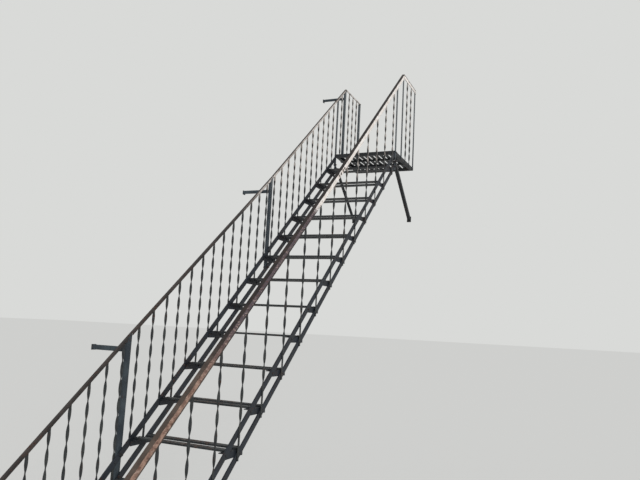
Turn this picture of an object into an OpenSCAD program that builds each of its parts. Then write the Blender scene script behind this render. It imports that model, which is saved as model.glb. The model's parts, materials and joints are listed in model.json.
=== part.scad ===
// Fire escape stair: a straight open flight between two flat-bar strings,
// with a landing at its head, a handrail on each side and twisted pickets.
// X runs across the flight, away from the building wall. Y runs along the
// wall in the direction of climb. Z is up, and the ground is at Z = 0.

/* [Flight] */
// Height from one tread to the next
rise = 228; // [215:1:240]
// Horizontal distance from one tread to the next
going = 266; // [255:1:285]
// Distance between the centre planes of the two strings
flight_width = 700; // [600:5:850]

/* [Strings] */
// Depth of each flat bar, square to its length
chord_depth = 38; // [34:1:46]
// Thickness of each flat bar
chord_thickness = 10; // [8:1:12]
// Distance between the middles of the upper and lower bars, square to them
chord_spacing = 112; // [108:1:124]
// Height of the upper bar's middle above the line of the treads
upper_chord_lift = 96; // [90:1:102]

/* [Treads] */
// Width of one tread bar
tread_bar_width = 55; // [45:1:62]
// Thickness of one tread bar
tread_bar_thickness = 12; // [8:1:16]
// Distance between the middles of the front and back bars of a tread
tread_bar_spacing = 120; // [110:2:130]
// Distance that a tread's middle lies in front of its place on the tread line
tread_lead = 20; // [12:2:28]
// Leg of the angle that carries the tread ends
bracket_leg = 40; // [30:1:50]
// Thickness of that angle
bracket_thickness = 5; // [4:0.5:8]

/* [Handrails] */
// Height of the wall side handrail above the tread line, at the foot
wall_rail_foot_height = 850; // [820:5:900]
// The same height at the low post
wall_rail_low_height = 835; // [800:5:880]
// The same height at the middle post
wall_rail_middle_height = 782; // [760:2:860]
// The same height at the top post
wall_rail_top_height = 808; // [780:4:860]
// Height of the open side handrail above the tread line, over its lower length
open_rail_height = 872; // [840:4:900]
// The same height at the top post
open_rail_top_height = 915; // [880:5:970]
// Place along the flight where the open side handrail is spliced
open_rail_splice_y = 2527; // [2470:1:2580]
// Depth of the open side rail's standing leg
open_rail_leg = 46; // [42:1:60]
// Width of the open side rail's flat leg
open_rail_flange = 26; // [22:1:36]
// Leg of the wall side rail's angle
wall_rail_leg = 18; // [14:1:28]
// Thickness of both rails
rail_thickness = 5; // [4:0.5:6]

/* [Pickets] */
// Width of the flat bar that a picket is twisted from
picket_width = 18; // [14:1:24]
// Thickness of that bar
picket_thickness = 5; // [4:0.5:8]
// Length of bar that turns through half a turn
picket_half_turn = 105; // [90:5:180]
// Width of the plain flat bars that stand at the ends of the pickets
upright_width = 40; // [30:2:48]

/* [Posts and stays] */
// Width of the wall side posts, along the wall
post_width = 40; // [32:1:46]
// Thickness of those posts
post_thickness = 18; // [12:1:24]
// Distance from a post's middle to the picket before it
post_setback = 46; // [40:1:70]
// Distance from the handrail's top down to the stay of the low post
low_stay_drop = 96; // [80:1:160]
// The same distance at the middle post
middle_stay_drop = 135; // [80:1:180]
// The same distance at the top post
top_stay_drop = 122; // [80:1:180]
// Distance from the wall side string's middle to the face of the building wall
wall_gap = 295; // [200:5:400]
// Leg of the angle that each wall stay is cut from
stay_leg = 30; // [25:1:32]
// Thickness of that angle
stay_thickness = 5; // [4:0.5:8]
// Side of the square plate that closes the wall end of a stay
stay_plate_side = 36; // [34:1:60]
// Thickness of the stay and brace plates
plate_thickness = 8; // [6:1:12]

/* [Landing] */
// Length of the landing along the wall
landing_length = 760; // [720:10:1100]
// Depth of the angle round the landing
landing_frame_leg = 36; // [32:1:50]
// Thickness of that angle
landing_frame_thickness = 6; // [5:0.5:10]
// Distance from the middle of the top tread to the landing's front edge
landing_setback = 110; // [100:5:130]
// Distance from the landing's front edge to the top posts
top_post_setback = 230; // [180:5:280]
// Width of one bar of the landing's deck
deck_bar_width = 38; // [25:1:50]
// Thickness of that bar
deck_bar_thickness = 8; // [6:1:10]
// Number of bars side by side in the deck
deck_bar_count = 12; // [8:1:13]

/* [Knee braces] */
// Leg of the brace's angle
brace_leg = 34; // [28:1:40]
// Thickness of that angle
brace_thickness = 5; // [4:0.5:8]
// Distance from the landing's front edge to the wall that the braces bear on
brace_reach = 695; // [620:5:800]
// Distance from the landing's walking level down to the brace's top end
brace_top_drop = 118; // [110:2:140]
// Drop of the brace from its top end to its foot
brace_drop = 532; // [440:4:620]

/* [Feet] */
// Length of the plate under each string
foot_length = 350; // [340:5:420]
// Width of that plate
foot_width = 110; // [104:1:130]
// Thickness of that plate
foot_thickness = 10; // [8:1:16]

/* [Bolt holes] */
// Diameter of the bolt holes in the foot plates
bolt_hole = 14; // [10:1:16]
// Distance between the two holes of a foot plate
foot_bolt_spacing = 200; // [150:5:220]

/* [Hidden] */
tread_count = 15;
slope = rise / going;
pitch = atan(slope);
// Clearance between a tread bar's end and the string
tread_end_gap = 2;
// Length of a bracket past the tread bars, at its front and at its back
bracket_front = 32;
bracket_back = 10;
// Untwisted length between a picket's fixing and its first turn
picket_neck = 15;
// Turn of the picket between two of its rings of edges
picket_step = 45;
// Gap where two lengths of handrail meet
joint_gap = 0.5;
// Gap between the top of a picket or post and the handrail's flat leg
seat_gap = 0.3;
// Places of the low and the middle post, counted in treads from the foot
low_post_step = 3;
middle_post_step = 9.6;
// Gap between a post and the handrail's standing leg, which stops beside it
post_gap = 1;
// Pickets on each side of the landing, and the play round its deck
left_guard_pickets = 3;
right_guard_pickets = 2;
deck_play = 2;
// Gap between the head post and the flat leg of a knee brace
flange_gap = 2;
// Distance from the line of the ground's first step to the foot posts
foot_post_y = -110;
// Length of handrail in front of the foot posts
rail_overhang = 34;
// Length of the plate that splices the open side handrail, and its depth
splice_length = 150;
splice_depth = 36;
// Length of the head post past the landing's front edge
head_post_lap = 0.65;
// Thickness of the flat bars on edge that the deck bars stand on
bearer_thickness = 10;
bearer_count = 4;
// Size of the plate at the foot of a knee brace
brace_plate_width = 48;
brace_plate_height = 66;
// Distance from a string's middle to the row of foot bolts
foot_bolt_inset = 36;
// Distance from a string's middle to the foot plate's outer edge
foot_plate_outer = 42;
bore_sides = 32;

string_face = chord_thickness / 2;
post_outer = string_face + post_thickness;
post_clear = post_width / 2 + post_gap;
open_face = flight_width + string_face;
rail_drop = rail_thickness / cos(pitch);
picket_edge_drop = picket_width / 2 * slope;
chord_half_height = chord_depth / 2 / cos(pitch);
lower_chord_lift = upper_chord_lift - chord_spacing / cos(pitch);
landing_level = rise * (tread_count + 1);
landing_bottom = landing_level - landing_frame_leg;
landing_front = going * tread_count + landing_setback;
landing_back = landing_front + landing_length;
top_post_y = landing_front + top_post_setback;
back_post_y = landing_back - post_width / 2;
head_post_front = landing_front - upright_width * (1 - head_post_lap);
head_post_back = head_post_front + upright_width;
low_post_y = going * low_post_step + post_setback;
middle_post_y = going * middle_post_step + post_setback;
rail_start_y = foot_post_y - rail_overhang;
brace_wall_y = landing_front + brace_reach;
bearer_depth = landing_frame_leg - landing_frame_thickness - deck_bar_thickness;
brace_rate = brace_drop / brace_reach;
brace_pitch = atan(brace_rate);
brace_foot_z = landing_level - brace_top_drop - brace_drop;

wall_rail_line = [
    [rail_start_y, slope * rail_start_y + wall_rail_foot_height],
    [low_post_y, slope * low_post_y + wall_rail_low_height],
    [middle_post_y, slope * middle_post_y + wall_rail_middle_height],
    [top_post_y, slope * top_post_y + wall_rail_top_height],
    [landing_back, slope * top_post_y + wall_rail_top_height]
];
open_rail_line = [
    [rail_start_y, slope * rail_start_y + open_rail_height],
    [open_rail_splice_y, slope * open_rail_splice_y + open_rail_height],
    [top_post_y, slope * top_post_y + open_rail_top_height],
    [landing_back, slope * top_post_y + open_rail_top_height]
];

function tread_line(y) = slope * y;
function number_name(i) = str(i < 10 ? "tread_0" : "tread_", i);

// A flat shape drawn in the plane of the flight, from one X to the next
module flat_bar(x, thickness, outline) {
    translate([x, 0, 0])
        rotate([90, 0, 90])
            linear_extrude(thickness)
                polygon(outline);
}

// Everything on the open side that is the same as on the wall side, mirrored
module open_side() {
    translate([flight_width, 0, 0])
        mirror([1, 0, 0])
            children();
}

// One flat bar of a string, level at its foot and upright at its head
module chord(lift, head_y) {
    low_edge = lift - chord_half_height;
    high_edge = lift + chord_half_height;
    flat_bar(-string_face, chord_thickness, [
        [(foot_thickness - high_edge) / slope, foot_thickness],
        [(foot_thickness - low_edge) / slope, foot_thickness],
        [head_y, tread_line(head_y) + low_edge],
        [head_y, tread_line(head_y) + high_edge]
    ]);
}

module upper_chord() {
    color("darkslategray") chord(upper_chord_lift, landing_front);
}

module lower_chord() {
    color("darkslategray") chord(lower_chord_lift, head_post_back);
}

// Short angles across the two bars of a string, one to each tread end
module tread_brackets() {
    reach = (tread_bar_spacing + tread_bar_width) / 2;
    length = 2 * reach + bracket_front + bracket_back;
    color("slategray")
        for (i = [1:tread_count])
            translate([
                string_face,
                going * i - tread_lead - reach - bracket_front,
                rise * i - tread_bar_thickness
            ]) {
                translate([0, 0, -bracket_leg])
                    cube([bracket_thickness, length, bracket_leg]);
                translate([0, 0, -bracket_thickness])
                    cube([bracket_leg, length, bracket_thickness]);
            }
}

// A tread of two flat bars, which lie on the brackets
module tread(i) {
    bar_length = flight_width - chord_thickness - 2 * tread_end_gap;
    color("gray")
        for (side = [-1, 1])
            translate([
                string_face + tread_end_gap,
                going * i - tread_lead + side * tread_bar_spacing / 2 - tread_bar_width / 2,
                rise * i - tread_bar_thickness
            ])
                cube([bar_length, tread_bar_width, tread_bar_thickness]);
}

// A strip that follows a handrail's line between two places, cut upright
module rail_strip(line, from_y, to_y, depth, x, thickness) {
    flat_bar(x, thickness, [
        [from_y, lookup(from_y, line)],
        [to_y, lookup(to_y, line)],
        [to_y, lookup(to_y, line) - depth],
        [from_y, lookup(from_y, line) - depth]
    ]);
}

// An angle over the pickets, whose standing leg stops beside the two posts
module wall_rail(from_y, from_post, to_post, to_y, stretch) {
    inside = rail_drop / 2;
    leg_line = [for (p = wall_rail_line) [p[0], p[1] - inside]];
    rail_strip(leg_line, from_post + post_clear, to_post - post_clear,
        wall_rail_leg * stretch - inside, -string_face, rail_thickness);
    rail_strip(wall_rail_line, from_y, to_y, rail_thickness * stretch,
        rail_thickness - string_face - wall_rail_leg, wall_rail_leg);
}

module open_rail(from_y, to_y, stretch) {
    inner = open_face + picket_thickness;
    rail_strip(open_rail_line, from_y, to_y, open_rail_leg * stretch, inner, rail_thickness);
    rail_strip(open_rail_line, from_y, to_y, rail_thickness * stretch,
        inner + rail_thickness - open_rail_flange, open_rail_flange);
}

module left_handrail_lower() {
    color("darkslategray")
        wall_rail(rail_start_y, foot_post_y, low_post_y, low_post_y - joint_gap / 2, 1 / cos(pitch));
}

module left_handrail_middle() {
    color("darkslategray")
        wall_rail(low_post_y + joint_gap / 2, low_post_y, middle_post_y,
            middle_post_y - joint_gap / 2, 1 / cos(pitch));
}

module left_handrail_upper() {
    color("darkslategray")
        wall_rail(middle_post_y + joint_gap / 2, middle_post_y, top_post_y,
            top_post_y - joint_gap / 2, 1 / cos(pitch));
}

// The lower length carries the splice plate inside its standing leg
module right_handrail_lower() {
    inner = open_face + picket_thickness;
    splice_line = [for (p = open_rail_line) [p[0], p[1] - rail_drop - splice_depth / 4]];
    color("sienna") {
        open_rail(rail_start_y, open_rail_splice_y - joint_gap / 2, 1 / cos(pitch));
        rail_strip(splice_line, open_rail_splice_y - splice_length / 2,
            open_rail_splice_y - joint_gap / 2, splice_depth, inner - rail_thickness, rail_thickness);
        rail_strip(splice_line, open_rail_splice_y - joint_gap / 2,
            open_rail_splice_y + splice_length / 2, splice_depth, inner - rail_thickness, rail_thickness);
    }
}

module right_handrail_upper() {
    color("sienna")
        open_rail(open_rail_splice_y + joint_gap / 2, top_post_y - joint_gap / 2, 1 / cos(pitch));
}

// A flat bar picket, plain at both ends and twisted in half turns between them.
// Its heights are whole millimetres, so that its three lengths meet exactly.
module picket(x, y, foot_z, twist_z, untwist_z, head_z) {
    low_z = floor(foot_z);
    start_z = ceil(twist_z);
    end_z = floor(untwist_z);
    high_z = floor(head_z);
    half_turns = max(1, round((end_z - start_z) / picket_half_turn));
    translate([x, y - picket_width / 2, 0]) {
        translate([0, 0, low_z])
            cube([picket_thickness, picket_width, start_z - low_z]);
        translate([picket_thickness / 2, picket_width / 2, start_z])
            linear_extrude(end_z - start_z, twist = 180 * half_turns, segments = 4,
                slices = 180 / picket_step * half_turns)
                square([picket_thickness, picket_width], center = true);
        translate([0, 0, end_z])
            cube([picket_thickness, picket_width, high_z - end_z]);
    }
}

// A picket that stands on a string, with its foot on the upper or the lower bar
module string_picket(x, y, line, rail_leg, foot_lift) {
    foot_z = max(tread_line(y) + foot_lift - chord_half_height, foot_thickness + seat_gap);
    twist_z = tread_line(y) + upper_chord_lift + chord_half_height + picket_neck;
    rail_z = lookup(y, line);
    untwist_z = rail_z - rail_leg / cos(pitch) - picket_neck;
    head_z = rail_z - rail_drop - picket_edge_drop - seat_gap;
    picket(x, y, foot_z, twist_z, untwist_z, head_z);
}

// A picket that stands on the landing's frame
module landing_picket(x, y, rail_z, rail_leg, edge_drop) {
    untwist_z = rail_z - rail_leg - picket_neck;
    head_z = rail_z - edge_drop - seat_gap;
    picket(x, y, landing_bottom, landing_level + picket_neck, untwist_z, head_z);
}

// Wall side pickets, two to each tread, between two places along the flight
module wall_pickets(from_half, to_half) {
    x = -string_face - picket_thickness;
    for (half = [from_half:to_half]) {
        on_tread = half % 2 == 0 && half > 0;
        lift = on_tread ? lower_chord_lift : upper_chord_lift;
        string_picket(x, going * half / 2, wall_rail_line, wall_rail_leg, lift);
    }
}

// Open side pickets, one to each tread
module open_pickets(from_tread, to_tread) {
    for (i = [from_tread:to_tread]) {
        lift = i > 0 ? lower_chord_lift : upper_chord_lift;
        string_picket(open_face, going * i, open_rail_line, open_rail_leg, lift);
    }
}

module left_pickets_lower() {
    color("dimgray") wall_pickets(0, 6);
}

module left_pickets_middle() {
    color("dimgray") wall_pickets(7, 19);
}

module left_pickets_upper() {
    y = (head_post_back + top_post_y) / 2;
    color("dimgray") {
        wall_pickets(20, 30);
        landing_picket(-string_face - picket_thickness, y, lookup(y, wall_rail_line),
            wall_rail_leg / cos(pitch), rail_drop + picket_edge_drop);
    }
}

module right_pickets_lower() {
    color("dimgray") open_pickets(0, 9);
}

module right_pickets_upper() {
    color("dimgray") open_pickets(10, 15);
}

// The plate that a string, its post and its anchors share, with two bolt holes
module foot_plate() {
    difference() {
        translate([-foot_plate_outer, -foot_length / 2, 0])
            cube([foot_width, foot_length, foot_thickness]);
        for (side = [-1, 1])
            translate([foot_bolt_inset, side * foot_bolt_spacing / 2, -1])
                cylinder(h = foot_thickness + 2, d = bolt_hole, $fn = bore_sides);
    }
}

module foot_plates() {
    color("slategray") {
        foot_plate();
        open_side() foot_plate();
    }
}

// An upright cut to the underside of a handrail's flat leg
module upright(x, thickness, from_y, to_y, foot_z, line) {
    middle_y = (from_y + to_y) / 2;
    flat_bar(x, thickness, [
        [from_y, foot_z],
        [to_y, foot_z],
        [to_y, lookup(to_y, line) - rail_drop - seat_gap],
        [middle_y, lookup(middle_y, line) - rail_drop - seat_gap],
        [from_y, lookup(from_y, line) - rail_drop - seat_gap]
    ]);
}

module wall_post(y, foot_z) {
    upright(-post_outer, post_thickness, y - post_width / 2, y + post_width / 2,
        foot_z, wall_rail_line);
}

module foot_posts() {
    color("slategray") {
        wall_post(foot_post_y, foot_thickness);
        upright(open_face, picket_thickness, foot_post_y - upright_width / 2,
            foot_post_y + upright_width / 2, foot_thickness, open_rail_line);
    }
}

module low_post() {
    color("steelblue")
        wall_post(low_post_y, tread_line(low_post_y) + lower_chord_lift - chord_half_height);
}

module middle_post() {
    color("slategray")
        wall_post(middle_post_y, tread_line(middle_post_y) + lower_chord_lift - chord_half_height);
}

// Flat bars that tie both bars of each string to the landing and the handrail
module head_posts() {
    foot_z = tread_line(head_post_front) + lower_chord_lift - chord_half_height;
    color("slategray") {
        upright(-string_face - picket_thickness, picket_thickness, head_post_front, head_post_back,
            foot_z, wall_rail_line);
        upright(open_face, picket_thickness, head_post_front, head_post_back, foot_z, open_rail_line);
    }
}

// Angles round the landing, with the flat leg below and turned inward
module landing_frame() {
    width = flight_width + chord_thickness;
    ledge = landing_frame_leg;
    wall = landing_frame_thickness;
    color("darkslategray")
        translate([-string_face, landing_front, landing_bottom])
            difference() {
                cube([width, landing_length, landing_frame_leg]);
                translate([wall, wall, wall])
                    cube([width - 2 * wall, landing_length - 2 * wall, landing_frame_leg]);
                translate([ledge, ledge, -1])
                    cube([width - 2 * ledge, landing_length - 2 * ledge, landing_frame_leg]);
            }
}

// Flat bars along the landing, on bars on edge that lie on the frame's ledge
module landing_deck() {
    inside = landing_frame_thickness + deck_play;
    width = flight_width + chord_thickness - 2 * inside;
    length = landing_length - 2 * inside;
    bar_step = (width - deck_bar_width) / (deck_bar_count - 1);
    bearer_step = (length - 2 * landing_frame_leg) / (bearer_count - 1);
    color("gray")
        translate([inside - string_face, landing_front + inside, landing_bottom + landing_frame_thickness]) {
            for (i = [0:deck_bar_count - 1])
                translate([i * bar_step, 0, bearer_depth])
                    cube([deck_bar_width, length, deck_bar_thickness]);
            for (i = [0:bearer_count - 1])
                translate([0, landing_frame_leg + i * bearer_step - bearer_thickness / 2, 0])
                    cube([width, bearer_thickness, bearer_depth]);
        }
}

// The level handrail over the landing, its posts and its pickets
module left_landing_guard() {
    rail_z = lookup(landing_back, wall_rail_line);
    bay = (back_post_y - top_post_y) / (left_guard_pickets + 1);
    color("darkslategray") {
        wall_rail(top_post_y + joint_gap / 2, top_post_y, back_post_y, landing_back, 1);
        wall_post(top_post_y, landing_bottom);
        wall_post(back_post_y, landing_bottom);
        for (i = [1:left_guard_pickets])
            landing_picket(-string_face - picket_thickness, top_post_y + i * bay, rail_z,
                wall_rail_leg, rail_thickness);
    }
}

module right_landing_guard() {
    rail_z = lookup(landing_back, open_rail_line);
    end_y = landing_back - upright_width / 2;
    bay = (end_y - top_post_y) / (right_guard_pickets + 1);
    color("darkslategray") {
        open_rail(top_post_y + joint_gap / 2, landing_back, 1);
        for (y = [top_post_y, end_y])
            upright(open_face, picket_thickness, y - upright_width / 2, y + upright_width / 2,
                landing_bottom, open_rail_line);
        for (i = [1:right_guard_pickets])
            landing_picket(open_face, top_post_y + i * bay, rail_z, open_rail_leg, rail_thickness);
    }
}

// An angle from a post to the building wall, where a plate closes its end
module wall_stay(y, drop) {
    z = lookup(y, wall_rail_line) - drop;
    half = stay_leg / 2;
    color("slategray") {
        flat_bar(-wall_gap + plate_thickness, wall_gap - plate_thickness - post_outer, [
            [y - half, z - half],
            [y - half + stay_thickness, z - half],
            [y - half + stay_thickness, z + half - stay_thickness],
            [y + half, z + half - stay_thickness],
            [y + half, z + half],
            [y - half, z + half]
        ]);
        translate([-wall_gap, y - stay_plate_side / 2, z - stay_plate_side / 2])
            cube([plate_thickness, stay_plate_side, stay_plate_side]);
    }
}

module low_wall_stay() {
    wall_stay(low_post_y, low_stay_drop);
}

module middle_wall_stay() {
    wall_stay(middle_post_y, middle_stay_drop);
}

module top_wall_stay() {
    wall_stay(top_post_y, top_stay_drop);
}

// An angle from the landing's corner down to a plate on the end wall
module knee_brace() {
    face = -string_face - picket_thickness - brace_thickness;
    half = brace_leg / 2 / cos(brace_pitch);
    flange = brace_thickness / cos(brace_pitch);
    from_y = head_post_front;
    flange_y = head_post_back + flange_gap;
    to_y = brace_wall_y - plate_thickness;
    top_z = landing_level - brace_top_drop;
    plate_x = face + brace_leg / 2;
    color("slategray") {
        flat_bar(face, brace_thickness, [
            [from_y, top_z - (from_y - landing_front) * brace_rate + half],
            [to_y, top_z - (to_y - landing_front) * brace_rate + half],
            [to_y, top_z - (to_y - landing_front) * brace_rate - half],
            [from_y, top_z - (from_y - landing_front) * brace_rate - half]
        ]);
        flat_bar(face, brace_leg, [
            [flange_y, top_z - (flange_y - landing_front) * brace_rate - half + flange],
            [to_y, top_z - (to_y - landing_front) * brace_rate - half + flange],
            [to_y, top_z - (to_y - landing_front) * brace_rate - half],
            [flange_y, top_z - (flange_y - landing_front) * brace_rate - half]
        ]);
        translate([plate_x - brace_plate_width / 2, to_y, brace_foot_z - brace_plate_height / 2])
            cube([brace_plate_width, plate_thickness, brace_plate_height]);
    }
}

module left_knee_brace() {
    knee_brace();
}

module right_knee_brace() {
    open_side() knee_brace();
}

upper_chord();  // left_upper_chord
lower_chord();  // left_lower_chord
open_side() upper_chord();  // right_upper_chord
open_side() lower_chord();  // right_lower_chord
tread_brackets();  // left_tread_brackets
open_side() tread_brackets();  // right_tread_brackets
left_handrail_lower();
left_handrail_middle();
left_handrail_upper();
right_handrail_lower();
right_handrail_upper();
left_pickets_lower();
left_pickets_middle();
left_pickets_upper();
right_pickets_lower();
right_pickets_upper();
foot_plates();
foot_posts();
low_post();
middle_post();
head_posts();
landing_frame();
landing_deck();
left_landing_guard();
right_landing_guard();
low_wall_stay();
middle_wall_stay();
top_wall_stay();
left_knee_brace();
right_knee_brace();
tread(1);  // tread_01
tread(2);  // tread_02
tread(3);  // tread_03
tread(4);  // tread_04
tread(5);  // tread_05
tread(6);  // tread_06
tread(7);  // tread_07
tread(8);  // tread_08
tread(9);  // tread_09
tread(10);  // tread_10
tread(11);  // tread_11
tread(12);  // tread_12
tread(13);  // tread_13
tread(14);  // tread_14
tread(15);  // tread_15
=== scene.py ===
# %% [markdown]
# # A fire escape stair of painted steel
# The real stair is riveted together from flat bars and angles. Its shape
# comes from a packed construction model, which stays as it is here. This
# lesson adds what that model leaves out: the smooth twist of the pickets,
# rivets, bolts and welds, and old paint that has faded, chipped and rusted.

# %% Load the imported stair
import json
import math
import random

import bmesh
import bpy
from mathutils import Matrix, Vector


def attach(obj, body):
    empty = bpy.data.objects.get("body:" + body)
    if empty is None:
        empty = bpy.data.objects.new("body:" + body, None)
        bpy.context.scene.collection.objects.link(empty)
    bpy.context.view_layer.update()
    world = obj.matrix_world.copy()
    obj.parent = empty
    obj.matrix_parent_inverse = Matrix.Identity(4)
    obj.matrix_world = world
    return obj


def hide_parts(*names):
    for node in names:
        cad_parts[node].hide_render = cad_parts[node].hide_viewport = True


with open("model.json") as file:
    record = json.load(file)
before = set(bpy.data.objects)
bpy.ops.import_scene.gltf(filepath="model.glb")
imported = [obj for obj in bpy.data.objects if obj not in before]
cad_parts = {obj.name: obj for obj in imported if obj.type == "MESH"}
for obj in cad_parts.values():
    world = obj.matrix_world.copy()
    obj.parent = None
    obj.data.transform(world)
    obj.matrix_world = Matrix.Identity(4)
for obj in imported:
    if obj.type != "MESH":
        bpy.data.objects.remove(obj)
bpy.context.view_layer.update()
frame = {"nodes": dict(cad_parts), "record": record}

# %% [markdown]
# The sizes of the real parts are written once, in metres. They are the same
# as in the construction model, so each new piece meets the bars that it is
# riveted or bolted to. X runs across the flight, Y along it and Z up. Each
# string is two bars, one over the other, whose middle is at X = 0 on the
# left and at X = WIDTH on the right. Heights on the flight count from the
# sloping line through the tops of the treads.

# %% Sizes of the flight
RISE = 0.228
GOING = 0.266
SLOPE = RISE / GOING
PITCH = math.atan(SLOPE)
TREADS = 15
WIDTH = 0.700
STRING_FACE = 0.005
CHORD_HEIGHT = 0.038
CHORD_HALF_HEIGHT = CHORD_HEIGHT / 2 / math.cos(PITCH)
CHORD_SPACING = 0.112
UPPER_LIFT = 0.096
LOWER_LIFT = UPPER_LIFT - CHORD_SPACING / math.cos(PITCH)
print("pitch of the flight", round(math.degrees(PITCH), 1), "degrees")

# %% Sizes of the treads, their brackets and the foot plates
TREAD_LEAD = 0.020
TREAD_BAR_SPACING = 0.120
TREAD_BAR_THICKNESS = 0.012
BRACKET_THICKNESS = 0.005
FOOT_THICKNESS = 0.010


def both_sides(x):
    """A place on the left and its like on the right."""
    return (x, WIDTH - x)


print("outer faces of the strings at", both_sides(-STRING_FACE))

# %% Sizes of the handrails
LEFT_RAIL_LEG = 0.018
RIGHT_RAIL_LEG = 0.046
RIGHT_RAIL_FLANGE = 0.026
RAIL_THICKNESS = 0.005
RAIL_DROP = RAIL_THICKNESS / math.cos(PITCH)
RAIL_JOINT = 0.00025
print("a sloping rail is", round(RAIL_DROP * 1000, 2), "mm thick, measured upright")

# %% Sizes of the pickets and the posts
PICKET_WIDTH = 0.018
PICKET_THICKNESS = 0.005
HALF_TURN = 0.105
NECK = 0.015
SEAT_GAP = 0.0003
POST_WIDTH = 0.040
POST_THICKNESS = 0.018
POST_GAP = 0.001
UPRIGHT_WIDTH = 0.040
print("pickets turn", round(math.degrees(math.pi / HALF_TURN)), "degrees a metre")

# %% Places of the landing and its braces
LANDING_LEVEL = RISE * (TREADS + 1)
FRAME_LEG = 0.036
LANDING_BOTTOM = LANDING_LEVEL - FRAME_LEG
LANDING_SETBACK = 0.110
LANDING_LENGTH = 0.760
LANDING_FRONT = GOING * TREADS + LANDING_SETBACK
LANDING_BACK = LANDING_FRONT + LANDING_LENGTH
BRACE_REACH = 0.695
BRACE_FALL = 0.532
BRACE_TOP = LANDING_LEVEL - 0.118
BRACE_END_Y = LANDING_FRONT + BRACE_REACH
BRACE_END_Z = BRACE_TOP - BRACE_FALL
print("landing from", round(LANDING_FRONT, 3), "to", round(LANDING_BACK, 3))

# %% Places of the posts, counted in treads where they stand on the flight
LOW_POST_STEP = 3
MIDDLE_POST_STEP = 9.6
POST_SETBACK = 0.046
TOP_POST_SETBACK = 0.230
FOOT_POST_Y = -0.110
LOW_POST_Y = GOING * LOW_POST_STEP + POST_SETBACK
MIDDLE_POST_Y = GOING * MIDDLE_POST_STEP + POST_SETBACK
TOP_POST_Y = LANDING_FRONT + TOP_POST_SETBACK
BACK_POST_Y = LANDING_BACK - POST_WIDTH / 2
END_POST_Y = LANDING_BACK - UPRIGHT_WIDTH / 2
# the landing's front edge meets the head post at this share of its width
HEAD_POST_SHARE = 0.35
HEAD_POST_FRONT = LANDING_FRONT - UPRIGHT_WIDTH * HEAD_POST_SHARE
HEAD_POST_BACK = HEAD_POST_FRONT + UPRIGHT_WIDTH
HEAD_POST_Y = (HEAD_POST_FRONT + HEAD_POST_BACK) / 2
print("head post from", round(HEAD_POST_FRONT, 3), "to", round(HEAD_POST_BACK, 3))


# %% Heights of the handrails
def handrail(heights):
    """A broken line through heights over the treads, which runs on level over the landing."""
    line = [(y, SLOPE * y + height) for y, height in heights]
    return line + [(LANDING_BACK, line[-1][1])]


def along(line, y):
    """Height of a broken line at a place along the flight."""
    for (y0, z0), (y1, z1) in zip(line, line[1:]):
        if y <= y1:
            return z0 + (z1 - z0) * (y - y0) / (y1 - y0)
    return line[-1][1]


RAIL_OVERHANG = 0.034
RAIL_START_Y = FOOT_POST_Y - RAIL_OVERHANG
SPLICE_Y = 2.527
LEFT_RAIL = handrail([(RAIL_START_Y, 0.850), (LOW_POST_Y, 0.835), (MIDDLE_POST_Y, 0.782),
                      (TOP_POST_Y, 0.808)])
RIGHT_RAIL = handrail([(RAIL_START_Y, 0.872), (SPLICE_Y, 0.872), (TOP_POST_Y, 0.915)])
print("handrails reach", round(LEFT_RAIL[-1][1], 3), "and", round(RIGHT_RAIL[-1][1], 3))

# %% [markdown]
# The camera stands before the foot of the flight and to its right, about a
# metre and two thirds up. It is tipped up and slightly askew, as for the
# photograph. It is turned about the upright, then tipped, then rolled, in
# that order, so the three turns are multiplied as matrices.

# %% Camera at the photograph's viewing angle
PHOTO_WIDTH = 640
FOCAL_PIXELS = 627
SENSOR_MM = 36.0
camera_data = bpy.data.cameras.new("camera")
camera = bpy.data.objects.new("camera", camera_data)
bpy.context.collection.objects.link(camera)
camera_data.sensor_fit = "HORIZONTAL"
camera_data.sensor_width = SENSOR_MM
camera_data.lens = SENSOR_MM * FOCAL_PIXELS / PHOTO_WIDTH
camera.location = (2.676, -2.386, 1.658)
turn = Matrix.Rotation(math.radians(23.5), 3, "Z")
tip = Matrix.Rotation(math.radians(98.0), 3, "X")
roll = Matrix.Rotation(math.radians(3.0), 3, "Z")
camera.rotation_euler = (turn @ tip @ roll).to_euler()
camera_data.clip_end = 500.0
bpy.context.scene.camera = camera
print("lens", round(camera_data.lens, 2), "mm")

# %% [markdown]
# Small helpers serve every finish. Colours are picked on screen as sRGB
# codes, but shaders mix light, so a code is first turned to linear. One
# function adds any node, with its settings and its links. A link may name a
# whole node, because most nodes have only one output in use.


# %% Helpers for colours and nodes
def linear(code):
    """Turns an sRGB hex colour into the linear colour that shaders use."""
    parts = [int(code[i:i + 2], 16) / 255 for i in (1, 3, 5)]
    return tuple(p / 12.92 if p <= 0.04045 else ((p + 0.055) / 1.055) ** 2.4 for p in parts) + (1.0,)


def add_node(tree, kind, settings=None, links=None):
    """Adds a node, fills in its settings, and links its inputs from nodes or from their sockets."""
    node = tree.nodes.new("ShaderNode" + kind)
    for key, value in (settings or {}).items():
        if isinstance(key, str) and hasattr(node, key):
            setattr(node, key, value)
        else:
            node.inputs[key].default_value = value
    for key, source in (links or {}).items():
        if isinstance(source, bpy.types.Node):
            source = next(output for output in source.outputs if output.enabled)
        tree.links.new(source, node.inputs[key])
    return node


print("mid grey in linear light is", round(linear("#808080")[0], 3))

# %% Settings that many nodes share
# in a mix of colours, socket 0 takes the mask, 6 the colour below and 7 the colour laid over it
COLOURS = {"data_type": "RGBA"}


def tones(below, over):
    """Settings that mix two sRGB colours."""
    return {**COLOURS, 6: linear(below), 7: linear(over)}


def soft_step(start, end, most=1.0):
    """Settings that turn a value into a mask, softly from 0 at start to most at end."""
    return {"interpolation_type": "SMOOTHSTEP", "From Min": start, "From Max": end, "To Max": most}


print("a soft step from 0 to 1:", soft_step(0, 1))

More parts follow.
